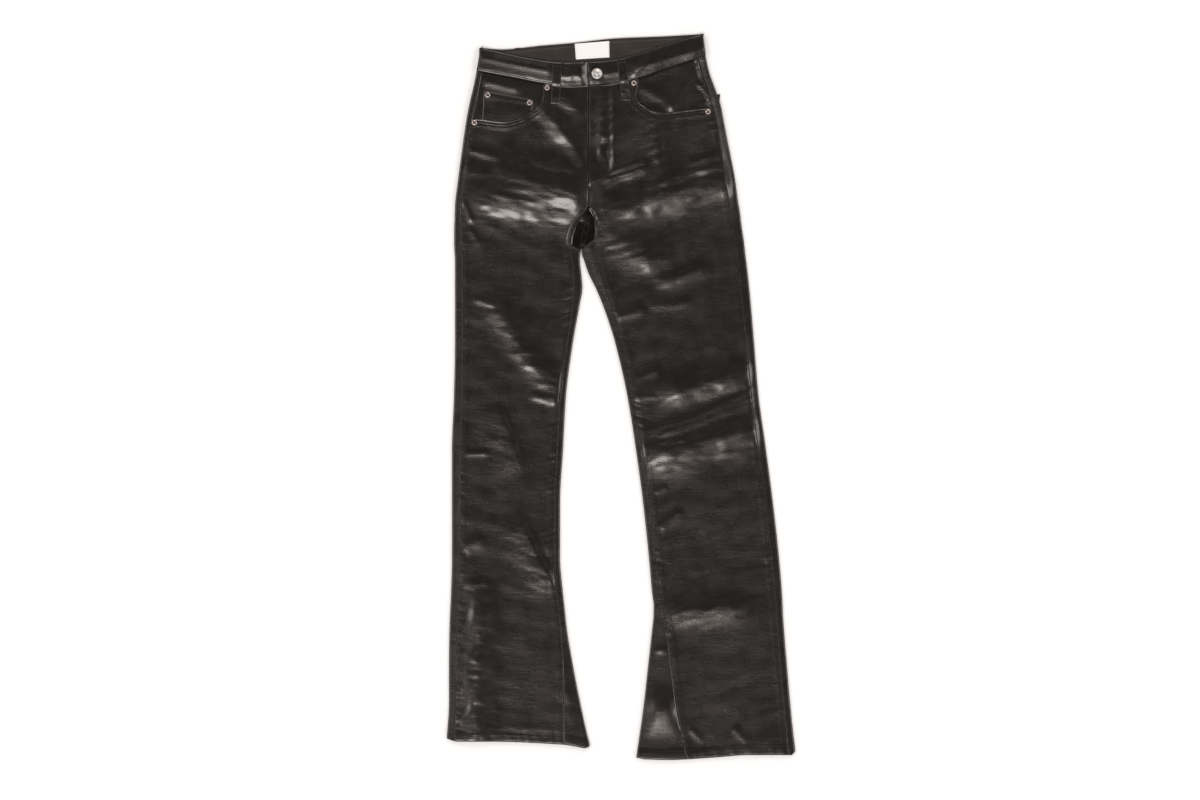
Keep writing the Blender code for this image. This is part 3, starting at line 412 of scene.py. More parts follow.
def ridge_rise(x, y):
    """Height that the soft ridges and the general unevenness of the cloth add."""
    rise = 0.0
    for r in RIDGES:
        run_x, run_y = r.x2 - r.x1, r.y2 - r.y1
        length = math.hypot(run_x, run_y)
        share = ((x - r.x1) * run_x + (y - r.y1) * run_y) / length ** 2
        away = ((x - r.x1) * run_y - (y - r.y1) * run_x) / length
        arch = 1.0 - (2.0 * np.clip(share, 0.0, 1.0) - 1.0) ** 2
        away = away - r.bow * arch + 0.12 * r.left * lumps(x, y, 17.0, 3)
        ends = soft(share / 0.36 + 0.5) * soft((1.0 - share) / 0.36 + 0.5)
        rise = rise + r.height * ends * bell(away / np.where(away > 0, r.right, r.left))
    rough = 0.2 + 0.8 * np.clip(rise / 2.0, 0.0, 1.0)
    right = x < middle_at(y)
    turn = np.where(right, -0.22, 0.32)
    along, across = x * np.cos(turn) + y * np.sin(turn), y * np.cos(turn) - x * np.sin(turn)
    off = x - CENTRE_FRONT
    calm = soft(np.abs(off) / 14.0)
    rise = rise + 0.6 * lumps(x, y * 0.8, 68.0, 11)
    rise = rise + calm * 0.3 * lumps(along * 0.5, across, 19.0, 12)
    return rise + calm * rough * (0.32 * lumps(along * 0.3, across, 8.0, 13)
                                  + 0.16 * lumps(along * 0.35, across, 5.0, 14))


def seam_rise(leg, x, y):
    """Grooves, pressed allowances, stitch channels and puckers along the long seams."""
    out = (leg.edge("outseam", y) - x) * leg.side
    ins = (x - leg.edge("inseam", y)) * leg.side
    below_pocket = soft((leg.scoop[0][1] - y + 30.0) / 20.0)
    slope = 0.05 + leg.lie.hip_slope * soft((y - 330.0) / 60.0)
    rise = join_groove(out) - slope * np.maximum(0.0, -out - 1.0)
    rise += below_pocket * (0.22 * soft((out + 2.0) / 4.0) * (1 - soft((out - 5.5) / 7.0))
                            - 0.14 * bell((out - SIDE_ROW) / 0.8))
    leg_only = soft((CROTCH_POINT - y) / 12.0)
    rim = leg.lie.rim_height * soft((y - leg.lie.rim_low) / 12.0)
    rise += rim * soft((CROTCH_POINT + 5.0 - y) / 10.0) * bell((ins - 2.6) / 2.6)
    rise += leg_only * (join_groove(ins)
                        + 0.3 * soft((ins + 2.0) / 4.0) * (1 - soft((ins - 7.0) / 6.0))
                        - 0.16 * bell((ins - INSIDE_LEG_ROWS[0]) / 0.8)
                        - 0.14 * bell((ins - INSIDE_LEG_ROWS[1]) / 0.8))
    for seed, pucker in enumerate(PUCKERS):
        if pucker.leg != leg.name:
            continue
        off = out if pucker.seam == "outseam" else ins
        zone = soft((y - pucker.low) / 14.0) * soft((pucker.high - y) / 14.0)
        slant = y + 0.25 * off
        wave = lumps(slant, 0.0, 3.6, 40 + seed) + 0.6 * lumps(slant, off, 6.5, 60 + seed)
        uneven = 0.55 + 0.45 * lumps(y, 0.0, 23.0, 80 + seed)
        rise += pucker.depth * zone * uneven * wave * bell(off / pucker.reach) \
            * (0.5 + 0.5 * soft(off + 1.0))
    return rise


def fly_rise(x, y):
    """The double cloth of the fly on the left front, and the dip of the right front by it."""
    curve = line_of(FLY_CURVE, 30)
    gap, _ = reach(curve, x, y)
    edge_x = flow(y, [at for _, at in FLY_CURVE[::-1]], [at for at, _ in FLY_CURVE[::-1]])
    inside = (x < edge_x) & (y > FLY_FOOT) & (x > CENTRE_FRONT - 8)
    signed = np.where(inside, gap, -gap)
    f = x - CENTRE_FRONT
    fly_zone = soft((y - FLY_FOOT + 2.0) / 8.0)
    rise = 0.95 * soft((signed + 2.0) / 4.5) * soft((f + 0.1) / 0.6)
    rise += (-0.35 * bell((signed - 0.5) / 0.9) - 0.3 * bell((signed - FLY_ROW) / 0.9)) * (f > 0)
    rise += (1.3 + 0.4 * fly_zone) * join_groove(f / (1.0 + 0.6 * fly_zone))
    rise -= 0.5 * fly_zone * bell((f + 1.5) / 4.0) * (f < 0)
    rise += 0.15 * (1 - fly_zone) * bell((np.abs(f) - 3.0) / 3.0)
    wave = lumps(y, x * 0.2, 7.0, 91) * bell((f - 3.0) / 6.0)
    return (rise + 0.25 * wave) * soft((y - CROTCH_POINT) / 10.0)


def godet_rise(leg, x, y):
    """The godet swells softly above its hem, most on the left leg."""
    inside = soft((leg.edge("inseam", y) - x) * leg.side / 24.0 + 0.3) \
        * soft((x - leg.edge("inner", y)) * leg.side / 26.0)
    crest = leg.foot + GODET_CREST
    return leg.lie.swell * inside * bell((y - crest) / np.where(y < crest, 30, 26))


def upper(x, y):
    """Height of the upper skin of the laid garment."""
    x, y = np.broadcast_arrays(np.asarray(x, float), np.asarray(y, float))
    low = underside(y)
    gap = edge_gap(x, y)
    share = EDGE_SHARE + (1.0 - EDGE_SHARE) * soft(gap / EDGE_REACH)
    rise = low + (thickness(y) - low) * share
    rise = rise + ridge_rise(x, y) * soft((gap - 3.0) / 14.0)
    right = x < middle_at(y)
    for leg, mine in ((RIGHT, right), (LEFT, ~right)):
        seams = godet_rise(leg, x, y) + seam_rise(leg, x, y) * soft((height_on(
            leg.band_seam, x) + 2.0 - y) / 2.0)
        rise = rise + np.where(mine, seams, 0.0)
    below_band = soft((height_on(LEFT.band_seam, CENTRE_FRONT) + 1.0 - y) / 2.0)
    return rise + fly_rise(x, y) * below_band


def lower(x, y):
    """Height of the lower skin, with the soft troughs of the cloth that lies on the floor."""
    x, y = np.broadcast_arrays(np.asarray(x, float), np.asarray(y, float))
    hollow = lumps(0.7 * x + 0.7 * y, 1.6 * (0.7 * y - 0.7 * x), 34.0, 21)
    hollow = np.maximum(0.0, hollow - 0.15) * 0.8
    return underside(y) + hollow * soft((edge_gap(x, y) - 4.0) / 14.0)


# ---------------------------------------------------------------- making meshes
def spaced(length, cell, fine_start=True, fine_end=True):
    """Distances from 0 to a length, close together near its ends and a cell apart between."""
    fine = [0.0, 0.25, 0.5, 0.7, 1.1, 1.8, 2.6, 3.6, 4.9, 6.3, 8.0]
    start = fine if fine_start else [0.0]
    end = fine if fine_end else [0.0]
    room = length - start[-1] - end[-1]
    count = max(1, int(round(room / cell)))
    between = [start[-1] + room * k / count for k in range(1, count)]
    return np.array(start + between + [length - value for value in end[::-1]])


def worn_places(z, step=1):
    """How far each point of a grid of heights stands above its neighbours, from 0 to 1."""
    padded = np.pad(z, step, mode="edge")
    around = (padded[2 * step:, step:-step] + padded[:-2 * step, step:-step]
              + padded[step:-step, 2 * step:] + padded[step:-step, :-2 * step]) / 4.0
    return np.clip((z - around - 0.14) / 0.25, 0.0, 1.0)


def cloth(name, patches, wall, looks, flip=False, painted_shade=0.0):
    """A thin shell of cloth from grids of outer points that share their common edges.

    A patch is an array of rows, columns and (x, y, z). looks is the outer material and, if
    there is a second, the inner one. painted_shade is the painted shade of each point of the
    last patch, from 0 to 1: its colour is darkened there to stand in for shadow, and it is
    kept as negative wear.
    """
    points, faces, worn = [], [], []
    count = 0
    for grid in patches:
        rows, columns = grid.shape[:2]
        index = count + np.arange(rows * columns).reshape(rows, columns)
        quads = np.stack([index[:-1, :-1], index[:-1, 1:], index[1:, 1:], index[1:, :-1]], -1)
        faces.append(quads.reshape(-1, 4)[:, ::-1] if flip else quads.reshape(-1, 4))
        points.append(grid.reshape(-1, 3))
        worn.append(worn_places(grid[..., 2]).reshape(-1))
        count += rows * columns
    # Painted shade: on the marked points wear is cleared and the worn value goes below zero, down to
    # -1, which the material reads as painted shade.
    worn[-1] = worn[-1] * (1.0 - np.ravel(painted_shade)) - np.ravel(painted_shade)
    mesh = mesh_of(name, np.concatenate(points), np.concatenate(faces))
    mark_worn(mesh, np.concatenate(worn))
    joined = bmesh.new()
    joined.from_mesh(mesh)
    if len(patches) > 1:
        bmesh.ops.remove_doubles(joined, verts=joined.verts, dist=0.00002)
    for edge in joined.edges:
        edge.smooth = not edge.is_boundary
    joined.to_mesh(mesh)
    joined.free()
    piece = add_piece(name, mesh, looks)
    shell = piece.modifiers.new("wall", "SOLIDIFY")
    shell.thickness = wall * MM
    shell.offset = -1.0
    shell.use_even_offset = False
    shell.material_offset = len(looks) - 1
    return piece


def mesh_of(name, points, faces):
    """A smooth mesh from points in millimetres and faces of one size."""
    mesh = bpy.data.meshes.new(name)
    size = faces.shape[1]
    mesh.vertices.add(len(points))
    mesh.vertices.foreach_set("co", (np.asarray(points) * MM).astype(np.float32).ravel())
    mesh.loops.add(faces.size)
    mesh.loops.foreach_set("vertex_index", faces.astype(np.int32).ravel())
    mesh.polygons.add(len(faces))
    mesh.polygons.foreach_set("loop_start", np.arange(0, faces.size, size, dtype=np.int32))
    mesh.update(calc_edges=True)
    mesh.shade_smooth()
    return mesh


def put_in(name, data):
    """A new object in the scene."""
    item = bpy.data.objects.new(name, data)
    bpy.context.scene.collection.objects.link(item)
    return item


def add_piece(name, mesh, looks):
    """A named piece that rides on the garment, with its materials."""
    piece = put_in(name, mesh)
    for look in looks:
        mesh.materials.append(look)
    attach(piece, "root")
    return piece


def mark_worn(mesh, values):
    """Keep how worn each point of a mesh is, for its material; values below zero mark painted shade
    instead.
    """
    attribute = mesh.attributes.new("worn", "FLOAT", "POINT")
    attribute.data.foreach_set("value", values.astype(np.float32))


def turned(name, profile, place, look, tilt=(0.0, 0.0), segments=64):
    """A round piece turned from (radius, height) pairs, from its top centre to its foot."""
    profile = np.asarray(profile, float)
    turns = np.arange(segments) * math.tau / segments
    rings = profile[1:-1]
    ring = np.stack([np.outer(rings[:, 0], np.cos(turns)), np.outer(rings[:, 0], np.sin(turns)),
                     np.repeat(rings[:, 1:], segments, axis=1)], -1)
    points = np.concatenate([ring.reshape(-1, 3), [(0, 0, profile[0][1]), (0, 0, profile[-1][1])]])
    points[:, 2] += points[:, 0] * tilt[0] + points[:, 1] * tilt[1]
    points += np.asarray(place)
    index = np.arange(len(rings) * segments).reshape(len(rings), segments)
    after = np.roll(index, -1, axis=1)
    sides = np.stack([index[:-1], index[1:], after[1:], after[:-1]], -1).reshape(-1, 4)
    top, foot = len(points) - 2, len(points) - 1
    caps = np.concatenate([
        np.stack([np.full(segments, top), index[0], after[0]], -1),
        np.stack([np.full(segments, foot), after[-1], index[-1]], -1)])
    faces = np.concatenate([sides[:, [0, 1, 2]], sides[:, [0, 2, 3]], caps])
    mesh = mesh_of(name, points, faces)
    high = np.concatenate([np.repeat(rings[:, 1], segments), [profile[0][1], 0.0]])
    mark_worn(mesh, soft((high / high.max() - 0.3) / 0.45))
    return add_piece(name, mesh, [look])


# ---------------------------------------------------------------- materials
def group_of(name, inputs, outputs):
    """A shader group, the nodes that feed its outputs, and the sockets of its inputs."""
    tree = bpy.data.node_groups.new(name, "ShaderNodeTree")
    for label, value in inputs.items():
        socket = tree.interface.new_socket(label, in_out="INPUT", socket_type="NodeSocketFloat")
        socket.default_value = value
    for label in outputs:
        tree.interface.new_socket(label, in_out="OUTPUT", socket_type="NodeSocketFloat")
    given = tree.nodes.new("NodeGroupInput").outputs
    return tree, Nodes(tree, tree.nodes.new("NodeGroupOutput")), given


class Nodes:
    """Short ways to add and join the nodes of a material or a group."""

    def __init__(self, tree, target):
        self.tree, self.target = tree, target
        self.place = tree.nodes.new("ShaderNodeTexCoord").outputs["Object"]

    def link(self, value, socket):
        """Join an output to an input, or set the input to a constant."""
        if isinstance(value, bpy.types.NodeSocket):
            self.tree.links.new(value, socket)
        else:
            socket.default_value = value

    def add(self, kind, output=0, settings=(), **inputs):
        """Add a node; inputs are named with _ for a space, or in0, in1 by their order."""
        node = self.tree.nodes.new(kind)
        for key, value in dict(settings).items():
            setattr(node, key, value)
        for key, value in inputs.items():
            socket = node.inputs[int(key[2:])] if key[2:].isdigit() else \
                node.inputs[key.replace("_", " ")]
            self.link(value, socket)
        return node.outputs[output]

    def group(self, tree, **inputs):
        """Place a group and return its outputs."""
        return self.add("ShaderNodeGroup", settings={"node_tree": tree}, **inputs).node.outputs

    def out(self, **values):
        """Feed the target node's inputs."""
        for key, value in values.items():
            self.link(value, self.target.inputs[key.replace("_", " ")])

    def maths(self, operation, a, b=0.0):
        """One sum."""
        return self.add("ShaderNodeMath", settings={"operation": operation}, in0=a, in1=b)

    def noise(self, scale, detail=3.0, rough=0.5, place=None, twist=0.0):
        """Soft noise over the object's own coordinates, or over another place."""
        return self.add("ShaderNodeTexNoise", Vector=place or self.place, Scale=scale,
                        Detail=detail, Roughness=rough, Distortion=twist)

    def ramp(self, value, low, high):
        """0 below low, 1 above high, smooth between."""
        return self.add("ShaderNodeMapRange", settings={"interpolation_type": "SMOOTHSTEP"},
                        Value=value, From_Min=low, From_Max=high)

    def mix(self, share, a, b):
        """A mix of two colours."""
        node = self.tree.nodes.new("ShaderNodeMix")
        node.data_type = "RGBA"
        for value, key in ((share, 0), (a, 6), (b, 7)):
            self.link(value, node.inputs[key])
        return node.outputs[2]

    def stretched(self, x, y, z, turn=0.0):
        """The object's own coordinates, turned and stretched."""
        return self.add("ShaderNodeMapping", Vector=self.place, Scale=(x, y, z),
                        Rotation=(0.0, 0.0, turn))

    def bump(self, height, strength, distance, under=None):
        """A normal from a height."""
        normal = self.add("ShaderNodeBump", Height=height, Strength=strength, Distance=distance)
        if under is not None:
            self.link(under, normal.node.inputs["Normal"])
        return normal


def material_of(name, colour):
    """A new material and its nodes, which feed its shader."""
    material = bpy.data.materials.new(name)
    material.use_nodes = True
    material.diffuse_color = (*colour, 1.0)
    shader = material.node_tree.nodes["Principled BSDF"]
    shader.inputs["Base Color"].default_value = (*colour, 1.0)
    return material, Nodes(material.node_tree, shader)


def grain_group():
    """The grain of coated cloth: fine pebbles, and short soft crinkles between them."""
    tree, nodes, given = group_of("leather grain", {"Pebble Scale": 780.0, "Wide Scale": 42.0},
                                  ["Pebbles", "Crinkles", "Streaks", "Wide"])
    warped = nodes.add("ShaderNodeVectorMath", settings={"operation": "ADD"}, in0=nodes.place,
                       in1=nodes.add("ShaderNodeVectorMath", settings={"operation": "SCALE"},
                                     in0=nodes.noise(160.0), Scale=0.0012))
    cells = nodes.add("ShaderNodeTexVoronoi", settings={"feature": "SMOOTH_F1"}, Vector=warped,
                      Scale=given["Pebble Scale"], Smoothness=0.45)
    fine = nodes.noise(2600.0, 2.0)
    pebbles = nodes.maths("SUBTRACT", nodes.maths("MULTIPLY", fine, 0.35), cells)
    crinkles = nodes.noise(1.0, 4.0, 0.62, nodes.stretched(170, 330, 200, 0.5), 0.6)
    streaks = nodes.noise(1.0, 3.0, 0.6, nodes.stretched(40, 300, 60, 0.1), 0.5)
    nodes.out(Pebbles=pebbles, Crinkles=crinkles, Streaks=streaks,
              Wide=nodes.noise(given["Wide Scale"], 3.0, 0.55))
    return tree


def rub_and_shade_group():
    """Where a surface is rubbed, broken up by speckles, and how much painted shade it gets, from
    worn values below zero.
    """
    tree, nodes, given = group_of(
        "rubbed edges and painted shade", {"Speckle Scale": 420.0, "Low": 0.38, "High": 0.68, "Strength": 1.0},
        ["Rubbed", "Sheltered"])
    worn = nodes.add("ShaderNodeAttribute", 2, settings={"attribute_name": "worn"})
    speckle = nodes.ramp(nodes.noise(given["Speckle Scale"], 4.0, 0.6), given["Low"],
                         given["High"])
    rubbed = nodes.maths("MULTIPLY", nodes.maths("MAXIMUM", worn, 0.0), speckle)
    # The second output is the painted shade mask, from worn values below zero.
    nodes.out(Rubbed=nodes.maths("MULTIPLY", rubbed, given["Strength"]),
              Sheltered=nodes.maths("MAXIMUM", nodes.maths("MULTIPLY", worn, -1.0), 0.0))
    return tree


def twist_group():
    """The twisted plies of a sewing thread."""
    tree, nodes, given = group_of("thread twist", {"Twist Scale": 1500.0}, ["Twist"])
    nodes.out(Twist=nodes.noise(given["Twist Scale"], 2.0))
    return tree


GRAIN = grain_group()
RUB_AND_SHADE = rub_and_shade_group()
TWIST = twist_group()


def leather_look(name, base, worn, shine, coat):
    """Glossy dark coated cloth with a fine grain, rubbed to a warmer colour on its edges, and
    darkened as painted shade where its mesh marks shade.
    """
    material, nodes = material_of(name, base)
    pebbles, crinkles, streaks, wide = nodes.group(GRAIN)
    rub, painted_shade = nodes.group(RUB_AND_SHADE, Strength=0.8)
    lighter = tuple(1.25 * value for value in base)
    colour = nodes.mix(nodes.ramp(wide, 0.4, 0.66), (*base, 1), (*lighter, 1))
    colour = nodes.mix(rub, colour, (*worn, 1))
    # Painted shade: the base colour falls to less than half where the painted shade mask is set, and
    # the roughness and bumps are lowered there.
    colour = nodes.mix(painted_shade, colour, tuple(0.45 * value for value in base) + (1,))
    rough = nodes.add("ShaderNodeMapRange", Value=wide, From_Min=0.3, From_Max=0.7,
                      To_Min=shine - 0.02, To_Max=shine + 0.04)
    rough = nodes.maths("ADD", rough, nodes.maths("MULTIPLY", rub, 0.1))
    rough = nodes.maths("SUBTRACT", rough, nodes.maths("MULTIPLY", painted_shade, 0.16))
    unshaded = nodes.maths("SUBTRACT", 1.0, nodes.maths("MULTIPLY", painted_shade, 0.8))
    normal = nodes.bump(streaks, nodes.maths("MULTIPLY", unshaded, 0.2), 0.0009)
    normal = nodes.bump(crinkles, nodes.maths("MULTIPLY", unshaded, 0.42), 0.0004, normal)
    normal = nodes.bump(pebbles, 0.22, 0.00015, normal)
    nodes.out(Base_Color=colour, Roughness=rough, Normal=normal, Coat_Weight=coat,
              Coat_Roughness=0.14, Specular_IOR_Level=0.5, Specular_Tint=(1.0, 0.935, 0.885, 1.0))
    return material


def knitted_look():
    """The knitted backing of the coated cloth."""
    material, nodes = material_of("knitted backing", (0.022, 0.017, 0.015))
    loops = nodes.add("ShaderNodeTexWave", settings={"bands_direction": "X"},
                      Vector=nodes.place, Scale=900.0, Distortion=2.0, Detail=1.0)
    colour = nodes.mix(loops, (0.012, 0.01, 0.009, 1), (0.03, 0.023, 0.02, 1))
    nodes.out(Base_Color=colour, Roughness=0.88, Normal=nodes.bump(loops, 0.5, 0.0003),
              Sheen_Weight=0.15)
    return material


def metal_look(name, bright, dull, rough, coarse):
    """Plated metal, dull in its hollows and bright on its rims."""
    material, nodes = material_of(name, bright)
    spots = nodes.noise(900.0, 4.0, 0.6)
    rub = nodes.group(RUB_AND_SHADE, Speckle_Scale=900.0, Low=0.1, High=0.5)["Rubbed"]
    colour = nodes.mix(rub, (*dull, 1), (*bright, 1))
    roughness = nodes.add("ShaderNodeMapRange", Value=spots, From_Min=0.3, From_Max=0.7,
                          To_Min=rough - 0.05, To_Max=rough + 0.1)
    nodes.out(Base_Color=colour, Roughness=roughness, Metallic=1.0,
              Normal=nodes.bump(spots, coarse, 0.0002))
    return material


def thread_look(name, light, dark, rough):
    """Twisted sewing thread."""
    material, nodes = material_of(name, light)
    twist = nodes.group(TWIST)["Twist"]
    nodes.out(Base_Color=nodes.mix(twist, (*dark, 1), (*light, 1)), Roughness=rough,
              Normal=nodes.bump(twist, 0.5, 0.0001))
    return material


def tape_look():
    """Blank woven white tape: fine crossing threads."""
    material, nodes = material_of("woven white tape", (0.78, 0.77, 0.75))
    turned_place = nodes.stretched(1.0, 1.0, 1.0, 0.08)
    across = nodes.add("ShaderNodeTexWave", settings={"bands_direction": "X"},
                       Vector=turned_place, Scale=420.0)
    along = nodes.add("ShaderNodeTexWave", settings={"bands_direction": "Y"},
                      Vector=turned_place, Scale=520.0)
    weave = nodes.maths("MULTIPLY", across, along)
    soil = nodes.ramp(nodes.noise(60.0), 0.3, 0.8)
    colour = nodes.mix(weave, (0.8, 0.79, 0.77, 1), (0.93, 0.92, 0.91, 1))
    colour = nodes.mix(nodes.maths("MULTIPLY", soil, 0.25), colour, (0.84, 0.82, 0.8, 1))
    nodes.out(Base_Color=colour, Roughness=0.8, Normal=nodes.bump(weave, 0.6, 0.00015),
              Sheen_Weight=0.2)
    return material


def floor_look():
    """Plain pale paper."""
    material, nodes = material_of("pale paper", (0.9, 0.9, 0.9))
    tone = nodes.noise(3.0, 2.0)
    nodes.out(Base_Color=nodes.mix(tone, (0.885, 0.885, 0.885, 1), (0.9, 0.9, 0.9, 1)),
              Roughness=0.9)
    return material


leather = leather_look("dark coated leather", (0.0072, 0.0055, 0.0048), (0.045, 0.022, 0.016),
                       0.27, 0.4)
band_inside = leather_look("brown band lining", (0.0135, 0.0092, 0.0078), (0.05, 0.028, 0.02),
                           0.4, 0.15)
backing = knitted_look()
button_metal = metal_look("bright nickel", (0.5, 0.475, 0.45), (0.16, 0.148, 0.14), 0.36, 0.2)
rivet_metal = metal_look("antique silver", (0.6, 0.5, 0.46), (0.05, 0.038, 0.034), 0.34, 0.35)
thread = thread_look("dark thread", (0.02, 0.0145, 0.0125), (0.008, 0.0065, 0.006), 0.55)
label_thread = thread_look("white thread", (0.7, 0.69, 0.67), (0.4, 0.39, 0.38), 0.6)
woven_tape = tape_look()


# ---------------------------------------------------------------- leg panels
ROLL = np.linspace(0.0, 1.0, 9)      # steps round a rolled edge, from the lower skin up


def grid_of(x, y, z):
    """Rows of (x, y, z) from three arrays."""
    return np.stack(np.broadcast_arrays(x, y, z), axis=-1)


def levels_of(leg, low, high, cell):
    """Level rows from low to high, about a cell apart, through each given height."""
    stops = [low] + [stop for stop in (HEM_BLEND, leg.godet_top, CROTCH_FOLD - 0.4,
                                       CROTCH_FOLD, CROTCH_JOIN)
                     if low < stop < high] + [high]
    levels = [low]
    for a, b in zip(stops, stops[1:]):
        count = max(1, int(round((b - a) / cell)))
        levels += [a + (b - a) * k / count for k in range(1, count + 1)]
    return np.array(levels)


def with_hem_lines(leg, level):
    """Level rows with the extra ones of the turned hem."""
    return np.sort(np.concatenate([level, leg.foot + np.array(HEM_LINES + HEM_STITCH_LINES)]))


def rolled(leg, column, level, top=None, depth=FOLD_DEPTH):
    """Rows round a rolled edge, from the lower skin to the upper; top moves the upper end."""
    inward = -leg.side if column == "outer" else leg.side
    level = np.asarray(level, float)[:, None]
    top = level if top is None else np.asarray(top, float)[:, None]
    y = level + (top - level) * ROLL
    x = leg.edge(column, y) + inward * depth * (1.0 - np.sin(math.pi * ROLL))
    place_y = leg.lay(x, y)
    low = underside(leg.lay(x[:, :1], level))
    high = upper(x[:, -1:], place_y[:, -1:])
    return grid_of(x, place_y, low + (high - low) * (1.0 - np.cos(math.pi * ROLL)) / 2.0)


def strip_on_top(leg, column, seam, level, cells, height=None, steps=(0.7, 0.5, 0.25, 0.0)):
    """The strip on the upper skin from a rolled edge to a seam."""
    inward = -leg.side if column == "outer" else leg.side
    level = np.asarray(level, float)[:, None]
    start = leg.edge(column, level) + inward * FOLD_DEPTH
    end = leg.edge(seam, level) - inward * SEAM / 2.0
    share = np.linspace(0.0, 1.0, cells + 1)
    share = share + 0.25 * share * (1.0 - share)
    near = end - inward * np.minimum(1.0, 0.8 * np.abs(end - start) / steps[0]) * steps
    x = np.concatenate([start + (near[:, :1] - start) * share[:-1], near], axis=1)
    y = leg.lay(x, level) if height is None else height(x)
    return grid_of(x, y, upper(x, y))


def godet_back_seam(leg, level):
    """The seam of the godet on the underside, which parts from the fold towards the hem."""
    share = np.maximum(0.0, (leg.godet_top - level) / (leg.godet_top - leg.foot))
    return leg.edge("inner", level) + leg.side * (FOLD_DEPTH + GODET_HALF * share)


def centre_back(leg, y):
    """The centre back seam, at one leg's side of it."""
    return middle_at(y) + leg.side * SEAM / 2.0


def band_corner(leg):
    """Where the back seam of the waistband meets the rolled outer edge."""
    end = BACK_BAND_SEAM[0] if leg.side < 0 else BACK_BAND_SEAM[-1]
    return float(leg.edge("outer", end[1])) - leg.side * FOLD_DEPTH


def yoke_seam(leg, share):
    """The height of the yoke seam at a share of the way from the side to the centre."""
    side = height_on(BACK_BAND_SEAM, band_corner(leg)) - YOKE_AT_SIDE
    centre = height_on(BACK_BAND_SEAM, CENTRE_BACK[-1][0]) - YOKE_AT_CENTRE
    return side + (centre - side) * share


def seat_rows(leg, shares, low, high, cells):
    """Rows across the seat between two lines, given at a share of the way to the centre."""
    part = np.linspace(0.0, 1.0, cells + 1)
    shares = np.asarray(shares)[:, None]
    y = low(part) + (high(part) - low(part)) * shares
    start = leg.edge("outer", y) - leg.side * FOLD_DEPTH
    x = start + (centre_back(leg, y) - start) * part
    return grid_of(x, y, lower(x, y))


BACK_COLUMNS = 44
SEAT_ROWS = 24


def back_of_leg(leg, level):
    """Rows across the underside of a leg, from its outer roll to the inner one."""
    part = np.linspace(0.0, 1.0, BACK_COLUMNS + 1)
    start = leg.edge("outer", level) - leg.side * FOLD_DEPTH
    roll = leg.edge("inner", level) + leg.side * FOLD_DEPTH
    join = np.clip((level - CROTCH_FOLD) / (CROTCH_JOIN - CROTCH_FOLD), 0.0, 1.0)
    end = np.where(level < leg.godet_top, godet_back_seam(leg, level) + leg.side * SEAM / 2.0,
                   roll + (centre_back(leg, level) - roll) * join)
    x = start[:, None] + (end - start)[:, None] * part
    y = leg.lay(x, level[:, None])
    return grid_of(x, y, lower(x, y))


def seat_at_crotch(leg, first):
    """The seat that shows between the inside legs, above the first row, where they meet."""
    level = np.sort(np.concatenate([levels_of(leg, CROTCH_FOLD, CROTCH_POINT, 2.5),
                                    CROTCH_FOLD + np.array([0.5, 1.0, 1.6])]))[1:]
    edge = leg.edge("inner", level)
    middle = (RIGHT.edge("inner", level) + LEFT.edge("inner", level)) / 2.0
    centre = edge + (middle - edge) * soft((level - CROTCH_FOLD) / 5.0) + leg.side * SEAM / 2.0
    seam = leg.edge("inseam", level) - leg.side * SEAM / 2.0
    share = (first[0, :, 0] - first[0, 0, 0]) / (first[0, -1, 0] - first[0, 0, 0])
    x = centre[:, None] + (seam - centre)[:, None] * share
    y = np.repeat(level[:, None], len(share), axis=1)
    return np.concatenate([first, grid_of(x, y, upper(x, y) - crotch_sink(leg, x, y))])


def back_panel(leg):
    """A back: the underside of a leg up to the yoke, rolled round to the seams on top."""
    level = levels_of(leg, leg.foot, HIP, UNDER_CELL)
    seat = seat_rows(leg, np.linspace(0.0, 1.0, SEAT_ROWS)[1:], lambda p: HIP,
                     lambda p: yoke_seam(leg, p) - SEAM / 2.0, BACK_COLUMNS)
    under = np.concatenate([back_of_leg(leg, level), seat])
    side_level = np.concatenate([level, seat[:, 0, 1]])
    outer_top = strip_on_top(leg, "outer", "outseam", side_level, 6)[:, ::-1]
    outer = np.concatenate([outer_top, rolled(leg, "outer", side_level)[:, ::-1][:, 1:]], axis=1)
    leg_level = level[(level >= leg.godet_top - 0.01) & (level <= CROTCH_FOLD + 0.01)]
    inner = np.concatenate([rolled(leg, "inner", leg_level),
                            strip_on_top(leg, "inner", "inseam", leg_level, 10,
                                         steps=(3.2, 2.6, 0.7, 0.5, 0.25, 0.0))[:, 1:]], axis=1)
    crotch = seat_at_crotch(leg, inner[-1:, len(ROLL) - 1:])
    # Painted shade on the seat where it sinks between the inside legs, full once it has sunk 2.4 mm.
    painted_shade = soft(crotch_sink(leg, crotch[..., 0], crotch[..., 1]) / 2.4)
    return cloth("back_panel_" + leg.name, [under, outer, inner, crotch],
                 WALL, [leather, backing], flip=leg.side < 0, painted_shade=painted_shade)


def crotch_sink(leg, x, y):
    """How far the seat lies below the fronts where it shows between the inside legs."""
    rim = np.abs(x - leg.edge("inseam", y))
    foot = CROTCH_FOLD + leg.lie.hollow_slope * np.abs(x - leg.edge("inner", y))
    return CROTCH_DEPTH * soft((y - foot) / 3.5) * soft((rim - 0.3) / 2.2)


def front_top(leg, shares):
    """The upper edge of a front: the scoop of the pocket, then the waistband seam."""
    corner = leg.scoop[-1]
    seam = [place for place in leg.band_seam if (corner[0] - place[0]) * leg.side > 1.0]
    seam[-1] = (CENTRE_FRONT + leg.side * SEAM / 2.0, seam[-1][1])
    waist = line_of([tuple(corner)] + seam, 30)
    at = shares / leg.lie.scoop_share
    past = (shares - leg.lie.scoop_share) / (1.0 - leg.lie.scoop_share)
    scoop_at, waist_at = np.linspace(0, 1, len(leg.scoop)), np.linspace(0, 1, len(waist))
    place = [np.where(at < 1.0, np.interp(at, scoop_at, leg.scoop[:, k]),
                      np.interp(past, waist_at, waist[:, k])) for k in (0, 1)]
    return place[0], place[1] - SEAM / 2.0


